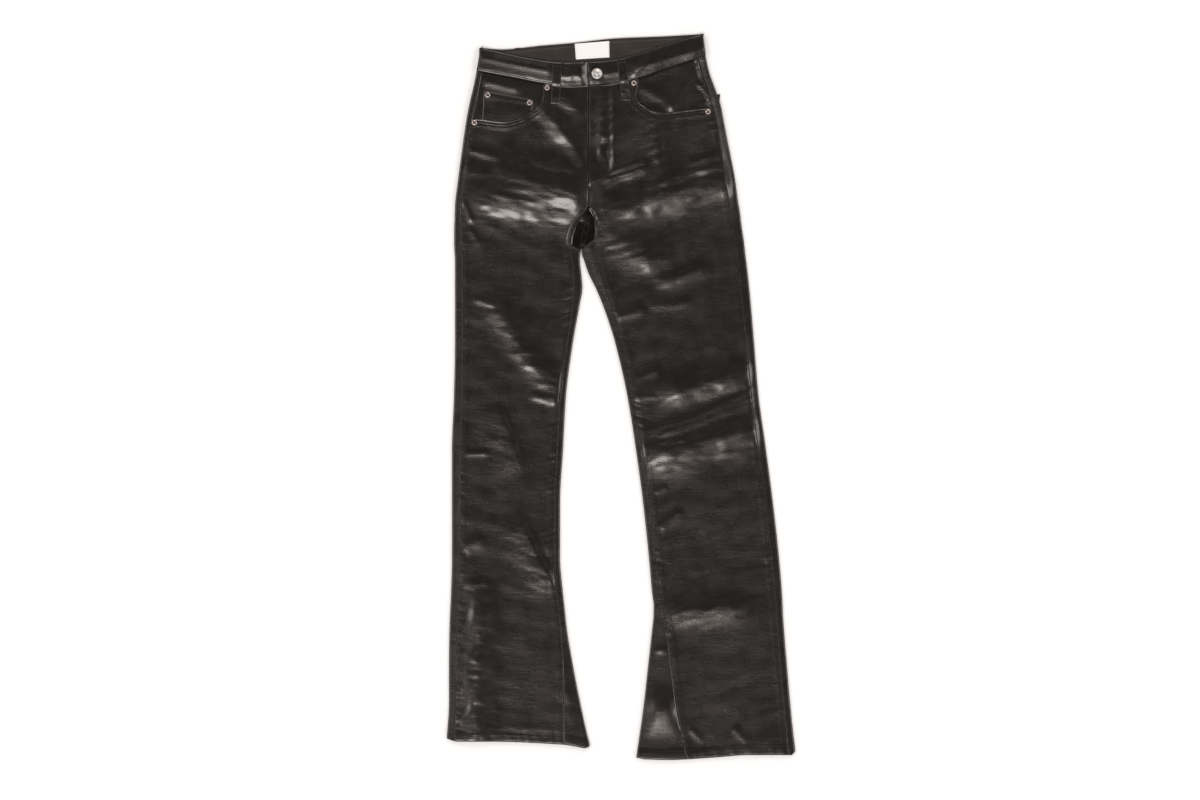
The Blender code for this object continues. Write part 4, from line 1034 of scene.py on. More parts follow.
def front_panel(leg):
    """A front, from the hem to the scoop of its pocket and the waistband."""
    level = with_hem_lines(leg, levels_of(leg, leg.foot, HIP, CELL))
    width = abs(leg.edge("outseam", 0.0) - leg.edge("inseam", 0.0))
    across = spaced(width, CELL) / width
    start = leg.edge("outseam", level) - leg.side * SEAM / 2.0
    end = leg.edge("inseam", level) + leg.side * SEAM / 2.0
    x = start[:, None] + (end - start)[:, None] * across
    y = leg.lay(x, level[:, None])
    top_x, top_y = front_top(leg, across)
    rise = spaced(FRONT_ABOVE_HIP, CELL, fine_start=False)[1:] / FRONT_ABOVE_HIP
    bow = 4.0 * leg.lie.scoop_bow * bell((across - leg.lie.scoop_share) / 0.15) \
        * soft((1.0 - across) / 0.15)
    up_x = x[-1] + (top_x - x[-1]) * rise[:, None]
    up_x = up_x - leg.side * bow * (rise * (1.0 - rise))[:, None]
    up_y = y[-1] + (top_y - y[-1]) * rise[:, None]
    true_side = leg.edge("outseam", up_y[:, :1]) - leg.side * SEAM / 2.0
    up_x = up_x + (true_side - up_x[:, :1]) * soft(1.0 - across / 0.2)
    x, y = np.concatenate([x, up_x]), np.concatenate([y, up_y])
    z = upper(x, y) + edge_rise(leg, x, y)
    return cloth("front_panel_" + leg.name, [grid_of(x, y, z)], WALL, [leather, backing],
                 flip=leg.side > 0)


def hem_rise(leg, x, y):
    """The turned hem: a double layer with a rounded edge and a stitch channel."""
    up = y - height_on(leg.hem, x)
    drag = lumps(x, y * 0.35 + 0.3 * x, 8.0, 31) * bell((up - 9.0) / 9.0)
    return (0.6 * (1 - soft((up - HEM_TURN) / 3.0)) - 1.5 * bell(up)
            - 0.4 * bell((up - HEM_TURN) / 0.9) + 0.3 * drag)


def edge_rise(leg, x, y):
    """What the cut edges of a front add: the turned scoop, the waist seam and the hem."""
    gap, spot = reach(leg.scoop, x, y)
    drag = lumps(spot, 0.0, 5.0, 33) * bell((gap - 6.0) / 6.0)
    rise = (0.45 * (1 - soft((gap - 8.0) / 9.0)) - 0.7 * bell(gap / 0.4)
            - 0.4 * bell((gap - SCOOP_ROWS[0]) / 0.7)
            - 0.35 * bell((gap - SCOOP_ROWS[1]) / 0.8) + 0.18 * drag)
    seam = y - height_on(leg.band_seam, x)
    near_centre = np.where((x - leg.scoop[-1][0]) * leg.side < 0, 1.0, 0.0)
    rise = rise - 0.9 * near_centre * bell(seam / 1.3)
    pull = lumps(x, 0.15 * y, 7.0, 35) * bell(seam / 14.0) * near_centre
    return rise + 0.3 * pull + hem_rise(leg, x, y)


def godet(leg):
    """A wedge let into the inside leg seam, folded in half along the edge of the leg."""
    level = with_hem_lines(leg, levels_of(leg, leg.foot, leg.godet_top - 1.5 * SEAM, CELL))
    roll = rolled(leg, "inner", level, depth=GODET_FOLD)[:, ::-1]
    seam = (leg.edge("inseam", level) - leg.side * SEAM / 2.0)[:, None]
    share = np.array([0.0, 0.02, 0.05, 0.1, 0.16, 0.25, 0.37, 0.5, 0.62, 0.74, 0.87])
    x = seam + (roll[:, :1, 0] - seam) * share
    y = leg.lay(x, level[:, None])
    top = grid_of(x, y, upper(x, y) + hem_rise(leg, x, y))
    roll[..., 2] += hem_rise(leg, roll[..., 0], roll[..., 1]) * np.linspace(1.0, 0.0, len(ROLL))
    back = (godet_back_seam(leg, level) - leg.side * SEAM / 2.0)[:, None]
    x = roll[:, -1:, 0] + (back - roll[:, -1:, 0]) * np.linspace(0.0, 1.0, 9)[1:]
    y = leg.lay(x, level[:, None])
    low = grid_of(x, y, lower(x, y))
    return cloth("godet_panel_" + leg.name, [np.concatenate([top, roll, low], axis=1)], WALL,
                 [leather, backing], flip=leg.side > 0)


def yoke(leg):
    """A yoke: from the seat seam to the waistband, rolled over the side to the front."""
    def low(part):
        return yoke_seam(leg, part) + SEAM / 2.0

    def high(part):
        corner = band_corner(leg)
        return height_on(BACK_BAND_SEAM, corner + (CENTRE_BACK[-1][0] - corner) * part) - SEAM

    shares = np.linspace(0.0, 1.0, 20)
    under = seat_rows(leg, shares, low, high, 40)
    inside = leg.edge("outer", under[:, 0, 1]) - leg.side * FOLD_DEPTH

    def strip_y(x):
        return low(0.0) + shares[:, None] * (height_on(leg.band_seam, x) - SEAM - low(0.0))

    top = strip_on_top(leg, "outer", "outseam", under[:, 0, 1], 7, height=strip_y)[:, ::-1]
    roll = rolled(leg, "outer", under[:, 0, 1], top=top[:, -1, 1])[:, ::-1]
    return cloth("yoke_panel_" + leg.name, [under, np.concatenate([top, roll[:, 1:]], axis=1)],
                 WALL, [leather, backing], flip=leg.side < 0)


# ---------------------------------------------------------------- pockets
def pocket_facing(leg):
    """The facing that shows inside the scoop, from the side seam to the waistband."""
    far = leg.scoop[-1][0] - leg.side * FACING_REACH
    side_x = float(leg.edge("outseam", leg.band_seam[0][1])) - leg.side * SEAM
    part = np.concatenate([np.linspace(0.0, 0.1, 8), np.linspace(0.1, 1.0, 44)[1:]])
    top_x = side_x + (far - side_x) * part
    top_y = height_on(leg.band_seam, top_x) - SEAM
    share = np.linspace(0.0, 1.0, 40)[:, None]
    y = FACING_HEM + (top_y - FACING_HEM) * share
    start = leg.edge("outseam", y) - leg.side * SEAM
    x = start + (far - start) * part
    away = np.abs(x - leg.edge("outseam", y))
    deeper = POCKET_WALL + LAYER + 0.1
    drop = FACING_DOWN + deeper * soft((away - 1.0) / (FACING_DIP - 2.0))
    z = upper(x, y) - drop - 0.5 * bell((y - top_y) / 1.5) + facing_rise(leg, x, y)
    return cloth("facing_" + leg.name, [grid_of(x, y, z)], POCKET_WALL, [leather, backing],
                 flip=leg.side > 0)


FacingFold = namedtuple("FacingFold", "leg x1 y1 x2 y2 height width")
FACING_FOLDS = [FacingFold("right", -219, 517, -172, 506, 1.5, 8),
                FacingFold("left", 46, 537, 88, 549, 1.6, 8),
                FacingFold("left", 128, 552, 84, 476, 2.0, 9),
                FacingFold("left", 128, 512, 148, 490, 1.0, 4),
                FacingFold("left", 40, 505, 78, 482, 1.0, 9)]


def facing_rise(leg, x, y):
    """Soft folds of a pocket facing."""
    rise = 0.0
    for fold in FACING_FOLDS:
        if fold.leg == leg.name:
            line = np.array([(fold.x1, fold.y1), (fold.x2, fold.y2)], float)
            rise = rise + fold.height * bell(reach(line, x, y)[0] / fold.width)
    return rise


def coin_pocket():
    """The small pocket on the right facing, which runs down behind the scoop."""
    upper_outer, upper_inner, lower_inner, lower_outer = [np.array(p) for p in COIN_POCKET]
    height = float(np.hypot(*(upper_outer - lower_outer)))
    up = (spaced(height, CELL, fine_start=False) / height)[:, None, None]
    across = (spaced(COIN_WIDTH, CELL) / COIN_WIDTH)[None, :, None]
    outer = lower_outer + (upper_outer - lower_outer) * up
    inner = lower_inner + (upper_inner - lower_inner) * up
    place = outer + (inner - outer) * across
    x, y = place[..., 0], place[..., 1]
    down = (1.0 - up[..., 0]) * height
    side = np.minimum(across[..., 0], 1.0 - across[..., 0]) * COIN_WIDTH
    rise = (-0.7 * bell(down / 0.7) - 0.25 * bell((down - COIN_ROWS[0]) / 0.7)
            - 0.6 * bell(side / 0.7) - 0.25 * bell((down - COIN_ROWS[1]) / 0.7)
            - 0.2 * bell((side - COIN_SIDE_ROW) / 0.7)
            + 0.35 * (1 - soft((down - 10.0) / 3.0)) + 0.25 * lumps(x, y, 16.0, 37))
    z = upper(x, y) - FACING_DOWN + rise
    return cloth("small_pocket", [grid_of(x, y, z)], POCKET_WALL, [leather, backing])


def back_pocket(leg, corners):
    """A patch pocket under the seat: five corners, the lowest one in the middle."""
    corners = np.array(corners, float)
    centre = corners.mean(axis=0)
    outline = []
    for a, b in zip(corners, np.roll(corners, -1, axis=0)):
        outline += [a + (b - a) * k / 16.0 for k in range(16)]
    outline = np.array(outline + [outline[0]])
    radial = np.array([0.02, 0.15, 0.3, 0.45, 0.6, 0.72, 0.82, 0.9, 0.95, 0.985, 1.0])
    place = centre + (outline - centre)[None] * radial[:, None, None]
    x, y = place[..., 0], place[..., 1]
    away = (1.0 - radial)[:, None] * np.hypot(*(outline - centre).T)
    z = PATCH - 0.35 * bell(away / 0.8)
    return cloth("patch_pocket_" + leg.name, [grid_of(x, y, z)], PATCH * 0.8, [leather])


# ---------------------------------------------------------------- waistband and its loops
BandFold = namedtuple("BandFold", "x1 y1 x2 y2 height width")
BAND_FOLDS = [BandFold(-224, 556, -120, 536, 1.3, 6), BandFold(-98, 527, -58, 525, 1.2, 5),
              BandFold(-92, 545, -70, 528, 0.8, 4), BandFold(-66, 543, -84, 524, 0.7, 4),
              BandFold(-24, 530, -2, 533, 1.2, 5), BandFold(26, 540, 132, 570, 1.3, 6),
              BandFold(22, 530, 40, 550, 0.8, 5)]


def band_front(leg, cells):
    """Places along the lower and upper edge of the waistband, from the centre to the side."""
    low = line_of(leg.band_seam[::-1], cells)
    share = (low[:, 0] - low[0, 0]) / (low[-1, 0] - low[0, 0])
    top_x = leg.band_top[-1][0] + share * (leg.band_top[0][0] - leg.band_top[-1][0])
    return low, np.stack([top_x, height_on(leg.band_top, top_x)], axis=1)


def band_rise(x, y, up, tall):
    """Crown, rounded edges, stitch channels and soft folds across the waistband."""
    rise = 0.45 + 1.15 * np.sin(math.pi * np.clip(up / tall, 0, 1)) ** 0.8
    rise = rise - 1.2 * bell(up / 0.7) - 1.1 * bell((tall - up) / 0.9)
    rise = rise - 0.2 * bell((up - BAND_LOW_ROW) / 0.8)
    rise = rise - 0.2 * bell((tall - up - BAND_TOP_ROW) / 0.8)
    for fold in BAND_FOLDS:
        line = np.array([(fold.x1, fold.y1), (fold.x2, fold.y2)], float)
        rise = rise + fold.height * bell(reach(line, x, y)[0] / fold.width)
    wave = lumps(x, y * 0.3, 9.0, 51) * (bell((up - 4) / 4.0) + bell((tall - up - 4) / 4.0))
    return rise + 0.16 * wave + 0.25 * lumps(x, y, 24.0, 52)


FRONT_BAND_CELLS, BACK_BAND_CELLS = 62, 90
BAND_ROWS = np.array([0.0, 0.02, 0.045, 0.08, 0.1, 0.13, 0.18, 0.25, 0.33, 0.41, 0.5, 0.59, 0.67,
                      0.75, 0.82, 0.87, 0.9, 0.92, 0.955, 0.98, 1.0])[:, None]


def band_half(leg):
    """One half of the front of the waistband, from the centre to the side."""
    low, top = band_front(leg, FRONT_BAND_CELLS)
    place = low[None] + (top - low)[None] * BAND_ROWS[..., None]
    tall = np.hypot(*(top - low).T)[None]
    x, y = place[..., 0], place[..., 1]
    rise = band_rise(x, y, BAND_ROWS * tall, tall)
    if leg is LEFT:
        end = np.abs(x - x[:, :1])
        rise = rise - 1.2 * bell(end / 0.9) - 0.25 * bell((end - 3.0) / 0.8)
    return grid_of(x, y, upper(x, y) + rise)


def band_underlap(right):
    """The right end of the waistband, tucked under the left one."""
    y = right[:, :1, 1]
    tuck = np.concatenate([np.linspace(UNDERLAP, 1.0, 12), [-1.5, -4.0]])
    x = right[:, :1, 0] + tuck
    drop = (BAND + LAYER) * np.where(tuck > 0, 1.0, 0.55 + 0.1 * tuck)
    return grid_of(x, y, upper(x, y) - drop)


def band_turn(leg, at):
    """The waistband rolled over one side; at is that end of the back's two lines."""
    y = BACK_BAND_SEAM[at][1] + (BACK_BAND_TOP[at][1] - BACK_BAND_SEAM[at][1]) * BAND_ROWS[:, 0]
    inside = leg.band_seam[0][0] - leg.side * FOLD_DEPTH
    low_y = float(height_on(leg.band_seam, inside))
    turn = rolled(leg, "outer", y, top=low_y + (leg.band_top[0][1] - low_y) * BAND_ROWS[:, 0])
    edge_dip = bell(BAND_ROWS / 0.03) + bell((1 - BAND_ROWS) / 0.03)
    turn[..., 2] += (0.45 - edge_dip) * ROLL
    return turn


def band_back(start, finish):
    """The back of the waistband, whose inside shows, between its two rolled sides."""
    x = start + (finish - start) * np.arange(1, BACK_BAND_CELLS)[None] / BACK_BAND_CELLS
    low_y = height_on(BACK_BAND_SEAM, x)
    tall = height_on(BACK_BAND_TOP, x) - low_y
    y = low_y + tall * BAND_ROWS
    wave = 0.5 * lumps(x, 2.0 * y, 26.0, 55) * np.sin(math.pi * BAND_ROWS)
    return grid_of(x, y, LIFT + 0.25 + 0.35 * np.maximum(0.0, wave)
                   + 0.3 * bell((tall - BAND_ROWS * tall - 4.0) / 0.9))


def waistband():
    """One folded strip round the waist, its left end lying over its right end in front."""
    right, left = band_half(RIGHT), band_half(LEFT)
    end = band_underlap(right)
    right = right[:, np.abs(right[0, :, 0] - right[0, 0, 0]) >= STEP_DOWN]
    right_turn, left_turn = band_turn(RIGHT, 0), band_turn(LEFT, -1)
    back = band_back(right_turn[0, 0, 0], left_turn[0, 0, 0])
    strip = np.concatenate([end, right, right_turn[:, ::-1], back, left_turn, left[:, ::-1]],
                           axis=1)
    return cloth("waistband_strip", [strip], BAND, [leather, band_inside], flip=True)


def front_loop(loop):
    """A belt loop over the front waistband, bowed in the middle, its ends tucked under."""
    end = [0.0, 0.004, 0.008, 0.013, 0.03, 0.06, 0.1]
    along = np.array(end + list(np.linspace(0.15, 0.85, 22)) + [1.0 - e for e in end[::-1]])[:, None]
    half = [0.5, 0.485, 0.47, 0.44, 0.38, 0.3, 0.15]
    across = np.array([-h for h in half] + [0.0] + half[::-1])[None]
    x = loop.x2 + (loop.x1 - loop.x2) * along + LOOP_WIDTH * across
    y = loop.y2 + (loop.y1 - loop.y2) * along
    middle = upper(loop.x2 + (loop.x1 - loop.x2) * along, y)
    side = (0.5 - np.abs(across)) * LOOP_WIDTH
    length = abs(loop.y1 - loop.y2)
    end = np.minimum(along, 1.0 - along) * length
    band = 0.9 * soft((y - height_on(RIGHT.band_seam if loop.x1 < 0 else LEFT.band_seam, x)
                       + 2.0) / 4.0)
    rise = (LAYER + LOOP_THICK + 0.25 + band + LOOP_BOW * np.sin(math.pi * along)
            - 0.9 * bell(side / 0.3) - 0.9 * bell(end / 0.35) - 0.12 * bell((side - 2.4) / 0.8)
            - 0.5 * bell((end - 6.0) / 1.2) + 0.2 * lumps(x, y, 6.0, 57))
    return cloth("loop_strap_" + loop.node[10:], [grid_of(x, y, middle + rise)], LOOP_THICK,
                 [leather])


def back_loop(loop):
    """A belt loop under the back waistband, flat on the floor."""
    along = np.linspace(0.0, 1.0, 20)[:, None]
    across = np.array([-0.5, -0.46, -0.4, -0.3, 0.0, 0.3, 0.4, 0.46, 0.5])[None]
    x = loop.x2 + (loop.x1 - loop.x2) * along + LOOP_WIDTH * across
    y = loop.y2 + (loop.y1 - loop.y2) * along
    side = (0.5 - np.abs(across)) * LOOP_WIDTH
    z = PATCH - 0.3 * bell(side / 0.7)
    return cloth("loop_strap_" + loop.node[10:], [grid_of(x, y, z)], PATCH * 0.9, [leather])


def label():
    """A blank woven tape, a little curled at its corners, inside the back of the waistband."""
    a, b, c, d = [np.array(p) for p in LABEL]
    u = np.linspace(0.0, 1.0, 40)[None, :, None]
    v = np.linspace(0.0, 1.0, 22)[:, None, None]
    place = (d + (c - d) * u) * (1 - v) + (a + (b - a) * u) * v
    x, y = place[..., 0], place[..., 1]
    edge = np.minimum(np.minimum(u, 1 - u)[..., 0] * 56, np.minimum(v, 1 - v)[..., 0] * 26)
    z = LIFT + BAND + LAYER + 0.8 - 0.25 * bell(edge / 0.7) + 0.15 * lumps(x, y, 14.0, 61)
    return cloth("blank_label", [grid_of(x, y, z)], 0.5, [woven_tape])


# ---------------------------------------------------------------- metal
def rest_on(x, y, radius, down=0.0):
    """The height at which a round piece clears the skin below it."""
    turn = np.arange(9) * math.tau / 8
    ring = upper(x + radius * np.cos(turn) * (turn < 6.2), y + radius * np.sin(turn))
    return float(ring.max()) - down + 0.1


def rivet(place, down):
    """A ring rivet: a rounded antique rim round a dark sunken centre with a burred pin."""
    r = RIVET_RADIUS
    profile = [(0.0, 1.15), (0.12 * r, 1.1), (0.2 * r, 0.85), (0.26 * r, 0.35), (0.42 * r, 0.3),
               (0.48 * r, 0.7), (0.53 * r, 1.45), (0.62 * r, 1.85), (0.73 * r, 1.95),
               (0.84 * r, 1.8), (0.93 * r, 1.4), (0.985 * r, 0.9), (r, 0.45), (0.97 * r, 0.1),
               (0.9 * r, 0.0), (0.0, 0.0)]
    height = rest_on(place.x, place.y, r, down)
    piece = turned("ring_" + place.node, profile, (place.x, place.y, height), rivet_metal,
                   tilt=(0.03, -0.04))
    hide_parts(place.node)


def button():
    """The shank button: a shank, and a dished head with a rolled rim and a small nub."""
    r = BUTTON_RADIUS
    profile = [(0.0, 3.75), (0.08 * r, 3.7), (0.13 * r, 3.5), (0.17 * r, 3.12), (0.3 * r, 3.0),
               (0.5 * r, 3.05), (0.6 * r, 3.12), (0.64 * r, 3.3), (0.67 * r, 3.42),
               (0.71 * r, 3.3), (0.74 * r, 3.2), (0.8 * r, 3.45), (0.85 * r, 3.85),
               (0.9 * r, 3.97), (0.95 * r, 3.85), (0.985 * r, 3.5), (r, 3.05), (0.985 * r, 2.6),
               (0.93 * r, 2.3), (0.8 * r, 2.05), (0.55 * r, 1.95), (0.5 * r, 1.2),
               (0.52 * r, 0.0), (0.0, 0.0)]
    height = rest_on(*BUTTON, 0.52 * r) + 0.6
    piece = turned("shank_button", profile, (*BUTTON, height), button_metal,
                   tilt=(0.015, 0.03), segments=96)
    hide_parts("button")


# ---------------------------------------------------------------- sewing
SEWN = 3.3               # from one stitch to the next
STITCH_LONG = 2.7
STITCH_WIDE = 0.62


class Sewing:
    """A run of threads that become one piece: each stitch is a small spindle of thread."""

    def __init__(self, name, skin=upper, raised=0.0, above=True):
        self.name, self.skin, self.raised, self.above = name, skin, raised, above
        self.points, self.faces, self.count = [], [], 0

    def stitch(self, middle, run, length=STITCH_LONG, wide=STITCH_WIDE):
        """Stitches at some places, each along its own direction."""
        middle, run = np.asarray(middle, float), np.asarray(run, float)
        if not len(middle):
            return
        run = run / np.hypot(*run.T)[:, None]
        side = np.stack([-run[:, 1], run[:, 0]], axis=1)
        along = np.array([-0.5, -0.42, -0.2, 0.2, 0.42, 0.5])
        thick = np.array([0.12, 0.75, 1.0, 1.0, 0.75, 0.12])
        sunk = np.array([-0.42, -0.05, 0.12, 0.12, -0.05, -0.42])
        sides = 6
        turn = np.arange(sides) * math.tau / sides
        centre = middle[:, None] + run[:, None] * (along * length)[None, :, None]
        z = self.skin(centre[..., 0], centre[..., 1]) + self.raised
        sign = 1.0 if self.above else -1.0
        ring = (centre[:, :, None] + side[:, None, None]
                * (np.outer(thick, np.cos(turn)) * wide / 2)[None, :, :, None])
        height = z[:, :, None] + sign * ((np.outer(thick, np.sin(turn)) * wide / 2)
                                         + sunk[:, None])[None]
        points = np.concatenate([ring, height[..., None]], axis=-1)
        index = np.arange(points[..., 0].size).reshape(points.shape[:3]) + self.count
        after = np.roll(index, -1, axis=2)
        quads = np.stack([index[:, :-1], after[:, :-1], after[:, 1:], index[:, 1:]], -1)
        self.points.append(points.reshape(-1, 3))
        self.faces.append(quads.reshape(-1, 4))
        caps = np.concatenate([index[:, 0, ::-1].reshape(-1, sides),
                               index[:, -1].reshape(-1, sides)])
        self.faces.append(np.concatenate([caps[:, [0, 1, 2, 3]], caps[:, [0, 3, 4, 5]]]))
        self.count += points[..., 0].size

    def row(self, line, step=SEWN, length=STITCH_LONG, start=0.5):
        """A row of stitches along a line."""
        line = np.asarray(line, float)
        travelled = np.concatenate([[0.0], np.cumsum(np.hypot(*np.diff(line, axis=0).T))])
        at = np.arange(start * step, travelled[-1] - 0.4 * step, step)
        place = np.stack([np.interp(at, travelled, line[:, k]) for k in (0, 1)], axis=1)
        ahead = np.stack([np.interp(at + 0.5, travelled, line[:, k]) for k in (0, 1)], axis=1)
        back = np.stack([np.interp(at - 0.5, travelled, line[:, k]) for k in (0, 1)], axis=1)
        self.stitch(place, ahead - back, length)

    def tack(self, x1, y1, x2, y2, wide=2.6):
        """A bar-tack: close stitches across a short line."""
        length = math.hypot(x2 - x1, y2 - y1)
        count = int(length / 0.62)
        share = (np.arange(count) + 0.5) / count
        place = np.stack([x1 + (x2 - x1) * share, y1 + (y2 - y1) * share], axis=1)
        zigzag = 0.18 * (-1.0) ** np.arange(count)
        run = np.stack([-(y2 - y1) / length + zigzag * (x2 - x1) / length,
                        (x2 - x1) / length + zigzag * (y2 - y1) / length], axis=1)
        self.stitch(place, run, length=wide, wide=0.75)

    def finish(self):
        """Join the stitches into one piece of thread."""
        piece = add_piece(self.name, mesh_of(self.name, np.concatenate(self.points),
                                             np.concatenate(self.faces)), [thread])
        return piece


def upright(x, y):
    """Places at one x and several heights."""
    return np.stack([np.full_like(y, x), y], axis=1)


def flat_skin(height):
    """A skin at one height."""
    return lambda x, y: np.full_like(x, height)


def leg_line(leg, column, off, low, high):
    """A line beside a leg seam, between two heights, off towards the front."""
    y = np.append(np.arange(low, high, 4.0), high)
    sign = -leg.side if column == "outseam" else leg.side
    x = leg.edge(column, y) + sign * off
    return np.stack([x, leg.lay(x, y)], axis=1)


def sew_legs():
    """Topstitching of the side seams, inside legs, godets, crotch and hems."""
    for leg in (RIGHT, LEFT):
        sewing = Sewing("leg_sewing_" + leg.name)
        sewing.row(leg_line(leg, "outseam", SIDE_ROW, leg.foot + 3, leg.scoop[0][1] - 26))
        for off in INSIDE_LEG_ROWS:
            sewing.row(leg_line(leg, "inseam", off, leg.foot + 3, CROTCH_POINT - 4))
        crotch_y = np.linspace(CROTCH_FOLD + 3, CROTCH_POINT - 8, 20)
        x = leg.edge("inner", crotch_y) + leg.side * 3.0
        crotch = Sewing("crotch_sewing_" + leg.name,
                        skin=lambda px, py, leg=leg: upper(px, py) - crotch_sink(leg, px, py))
        crotch.row(np.stack([x, crotch_y], axis=1))
        crotch.finish()
        hem_x = np.linspace(leg.edge("outer", leg.foot) - leg.side * 3.5,
                            leg.edge("inner", leg.foot) + leg.side * 3.5, 60)
        hem = Sewing("hem_sewing_" + leg.name,
                     skin=lambda px, py, leg=leg: upper(px, py) + hem_rise(leg, px, py))
        hem.row(np.stack([hem_x, height_on(leg.hem, hem_x) + HEM_TURN], axis=1))
        hem.finish()
        sewing.finish()


def sew_scoops():
    """Two rows beside the scoop of each pocket."""
    for leg in (RIGHT, LEFT):
        sewing = Sewing("pocket_sewing_" + leg.name,
                        skin=lambda px, py, leg=leg: upper(px, py) + edge_rise(leg, px, py))
        for off in SCOOP_ROWS:
            line = beside(leg.scoop, leg.side * off)
            sewing.row(line[line[:, 1] < height_on(leg.band_seam, line[:, 0]) - 2.0])
        sewing.finish()


def sew_coin_pocket():
    """Two rows along the top of the coin pocket and one down each side."""
    small = Sewing("small_pocket_sewing", raised=0.1 - FACING_DOWN)
    corners = np.array(COIN_POCKET, float)
    for off in COIN_ROWS:
        small.row(line_of(beside(corners[:2], -off) + [[2.0, 0], [-2.0, 0]], 12))
    for a, b, off in ((3, 0, -COIN_SIDE_ROW), (2, 1, COIN_SIDE_ROW)):
        small.row(line_of(beside(corners[[a, b]], off), 12))
    small.finish()


def sew_fly():
    """The fly's curved rows, the centre front and their bar-tacks."""
    fly = Sewing("fly_sewing", skin=lambda px, py: upper(px, py) + edge_rise(LEFT, px, py))
    curve = line_of(FLY_CURVE, 80)
    fly.row(curve[curve[:, 1] < 508])
    inner = beside(curve, -FLY_ROW)
    fly.row(inner[(inner[:, 1] < 507) & (inner[:, 0] > CENTRE_FRONT + 3)])
    fly.row(upright(CENTRE_FRONT + 4.0, np.linspace(506, 402, 30)), step=3.8)
    for off in (2.2, 6.0):
        fly.row(upright(CENTRE_FRONT + off, np.linspace(346, CROTCH_POINT + 3, 12)))
    fly.tack(CENTRE_FRONT + 3.2, 429, CENTRE_FRONT + 3.2, 410, wide=2.8)
    fly.tack(-34, 419, -24, 420.5, wide=2.4)
    fly.finish()


def band_skin(x, y):
    """Height of the front of the waistband."""
    right = x < CENTRE_FRONT
    low = np.where(right, height_on(RIGHT.band_seam, x), height_on(LEFT.band_seam, x))
    top = np.where(right, height_on(RIGHT.band_top, x), height_on(LEFT.band_top, x))
    return upper(x, y) + band_rise(x, y, y - low, top - low)


def sew_band():
    """Rows along the waistband in front and inside the back, its end and its buttonhole."""
    band = Sewing("waistband_sewing", skin=band_skin)
    for leg, start in ((RIGHT, 4), (LEFT, 1)):
        low, top = band_front(leg, 40)
        across = (top - low) / np.hypot(*(top - low).T)[:, None]
        for line in (low + across * BAND_LOW_ROW, top - across * BAND_TOP_ROW):
            band.row(line[start:-1])
    band.row(upright(CENTRE_FRONT + 2.6, np.linspace(516, 546, 12)))
    x, y = BUTTON
    for off in (-1.3, 1.3):
        band.row(line_of([(x - 13.5, y + off), (x - 8.0, y + off)], 8), step=1.0, length=1.6)
    band.finish()
    inside = Sewing("band_inside_sewing", skin=flat_skin(LIFT + BAND + 0.45))
    inside.row(line_of([(x, y - 4.0) for x, y in BACK_BAND_TOP], 60)[4:-4])
    inside.finish()


def sew_loops():
    """Two rows and two bar-tacks on each front loop."""
    loops = Sewing("loop_sewing")
    for loop in FRONT_LOOPS:
        foot, head = np.array([(loop.x2, loop.y2), (loop.x1, loop.y1)], float)
        up = (head - foot) / np.hypot(*(head - foot))
        loops.raised = LAYER + LOOP_THICK + 1.2
        for off in (-5.1, 5.1):
            loops.row(line_of(beside(np.array([foot + 4 * up, head - 4 * up]), off), 20))
        for (x, y), lift in ((foot + 5.5 * up, 0.55), (head - 5.5 * up, 1.4)):
            loops.raised = LAYER + LOOP_THICK + lift
            loops.tack(x - 5.5, y, x + 5.5, y, wide=2.2)
    loops.finish()


def sew_label():
    """White stitches down both ends of the label."""
    tape = Sewing("label_sewing", skin=flat_skin(LIFT + BAND + LAYER + 0.85))
    a, b, c, d = np.array(LABEL)
    for high, low, inward in ((a, d, 1.6), (b, c, -1.6)):
        tape.row(line_of([high + (inward, -1.2), low + (inward, 1.2)], 10), step=2.6, length=1.9)
    tape.finish().data.materials[0] = label_thread


def sew_seat():
    """Double rows of the yoke seams and the centre back seam, on the underside."""
    seat = Sewing("seat_sewing", skin=lower, above=False)
    for leg in (RIGHT, LEFT):
        part = np.linspace(0.05, 0.97, 30)
        for off in (-3.0, -8.0):
            y = yoke_seam(leg, part) + off
            start = leg.edge("outer", y) - leg.side * FOLD_DEPTH
            seat.row(np.stack([start + (centre_back(leg, y) - start) * part, y], axis=1))
        y = np.linspace(262, 470, 40)
        seat.row(np.stack([centre_back(leg, y) + leg.side * 3.0, y], axis=1))
    seat.finish()


# ---------------------------------------------------------------- put it together
# Each sheet: the CAD node that it stands for, the rectangle that it is cut from and its own
# flat area, in metres and square metres, and the pieces that it lies on.
Cut = namedtuple("Cut", "node wide long area rests_on")


def lay_out():
    """Build every cloth piece, and say which CAD node each stands for."""
    made = {}
    for leg, corners in ((RIGHT, RIGHT_BACK_POCKET), (LEFT, LEFT_BACK_POCKET)):
        made["back_" + leg.name] = back_panel(leg)
        made["front_" + leg.name] = front_panel(leg)
        made["godet_" + leg.name] = godet(leg)
        made["yoke_" + leg.name] = yoke(leg)
        made["pocket_facing_" + leg.name] = pocket_facing(leg)
        made["back_pocket_" + leg.name] = back_pocket(leg, corners)
    made["coin_pocket"] = coin_pocket()
    made["waistband"] = waistband()
    made["label"] = label()
    for loop in FRONT_LOOPS:
        made[loop.node] = front_loop(loop)
    for loop in BACK_LOOPS:
        made[loop.node] = back_loop(loop)
    for node, piece in made.items():
        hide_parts(node)
    return made


made = lay_out()
for place in FRONT_RIVETS:
    rivet(place, 0.0)
for place in COIN_RIVETS:
    rivet(place, COIN_RIVETS_DOWN)
button()
for sew in (sew_legs, sew_scoops, sew_fly, sew_coin_pocket, sew_band, sew_loops,
            sew_label, sew_seat):
    sew()


# ---------------------------------------------------------------- floor, light and camera
PAPER_HALF = 4000.0
PAPER_TOP = -0.4


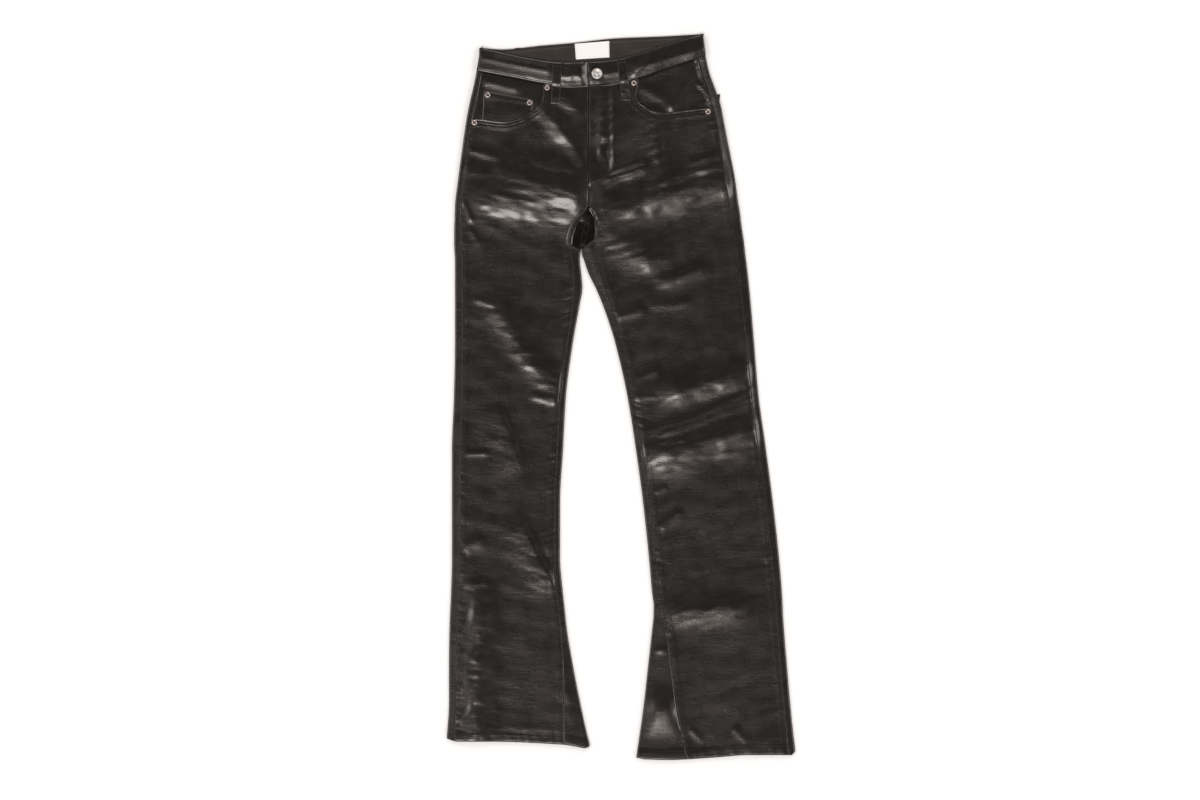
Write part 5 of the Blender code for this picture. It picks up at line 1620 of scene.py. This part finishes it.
def floor():
    """A plain pale sheet of paper under the garment."""
    corners = [(-1, -1), (1, -1), (1, 1), (-1, 1)]
    mesh = mesh_of("paper", [(x * PAPER_HALF, y * PAPER_HALF, PAPER_TOP) for x, y in corners],
                   np.array([[0, 1, 2, 3]]))
    mesh.materials.append(floor_look())
    put_in("paper", mesh)


SoftLight = namedtuple("SoftLight", "name azimuth elevation angle strength colour")
LIGHTS = [SoftLight("light_hem", -110, 64, 21, 1.45, (1.0, 0.945, 0.915)),
          SoftLight("light_waist", 85, 40, 24, 0.6, (1.0, 0.96, 0.94)),
          SoftLight("light_left", 175, 48, 24, 0.7, (1.0, 0.96, 0.94)),
          SoftLight("light_right", -5, 47, 26, 0.8, (1.0, 0.96, 0.94))]
OVERHEAD = 0.06          # how bright the room is straight above, and by the walls
BY_THE_WALLS = 0.6
CAMERA_PLACE = (-0.0344, -0.0049, 9.84)          # metres


def studio():
    """Broad soft lights, the strongest from the hem, and a room that is darker overhead."""
    for light in LIGHTS:
        data = bpy.data.lights.new(light.name, "SUN")
        data.energy, data.angle, data.color = (light.strength, math.radians(light.angle),
                                               light.colour)
        lamp = put_in(light.name, data)
        lamp.rotation_euler = (math.radians(90 - light.elevation), 0.0,
                               math.radians(light.azimuth + 90))
    world = bpy.data.worlds.new("pale room")
    bpy.context.scene.world = world
    world.use_nodes = True
    back = world.node_tree.nodes["Background"]
    back.inputs["Color"].default_value = (0.97, 0.98, 1.0, 1.0)
    nodes = Nodes(world.node_tree, back)
    up = nodes.add("ShaderNodeSeparateXYZ", 2,
                   in0=nodes.tree.nodes.new("ShaderNodeTexCoord").outputs["Generated"])
    strength = nodes.add("ShaderNodeMapRange", settings={"interpolation_type": "SMOOTHSTEP"},
                         Value=up, From_Min=0.35, From_Max=0.98, To_Min=BY_THE_WALLS,
                         To_Max=OVERHEAD)
    nodes.out(Strength=strength)


def camera():
    """A long lens that looks straight down."""
    data = bpy.data.cameras.new("view from above")
    data.lens, data.sensor_width = 180.0, 36.0
    eye = put_in("view from above", data)
    eye.location = CAMERA_PLACE
    bpy.context.scene.camera = eye


floor()
studio()
camera()
bpy.context.scene.view_settings.view_transform = "Standard"
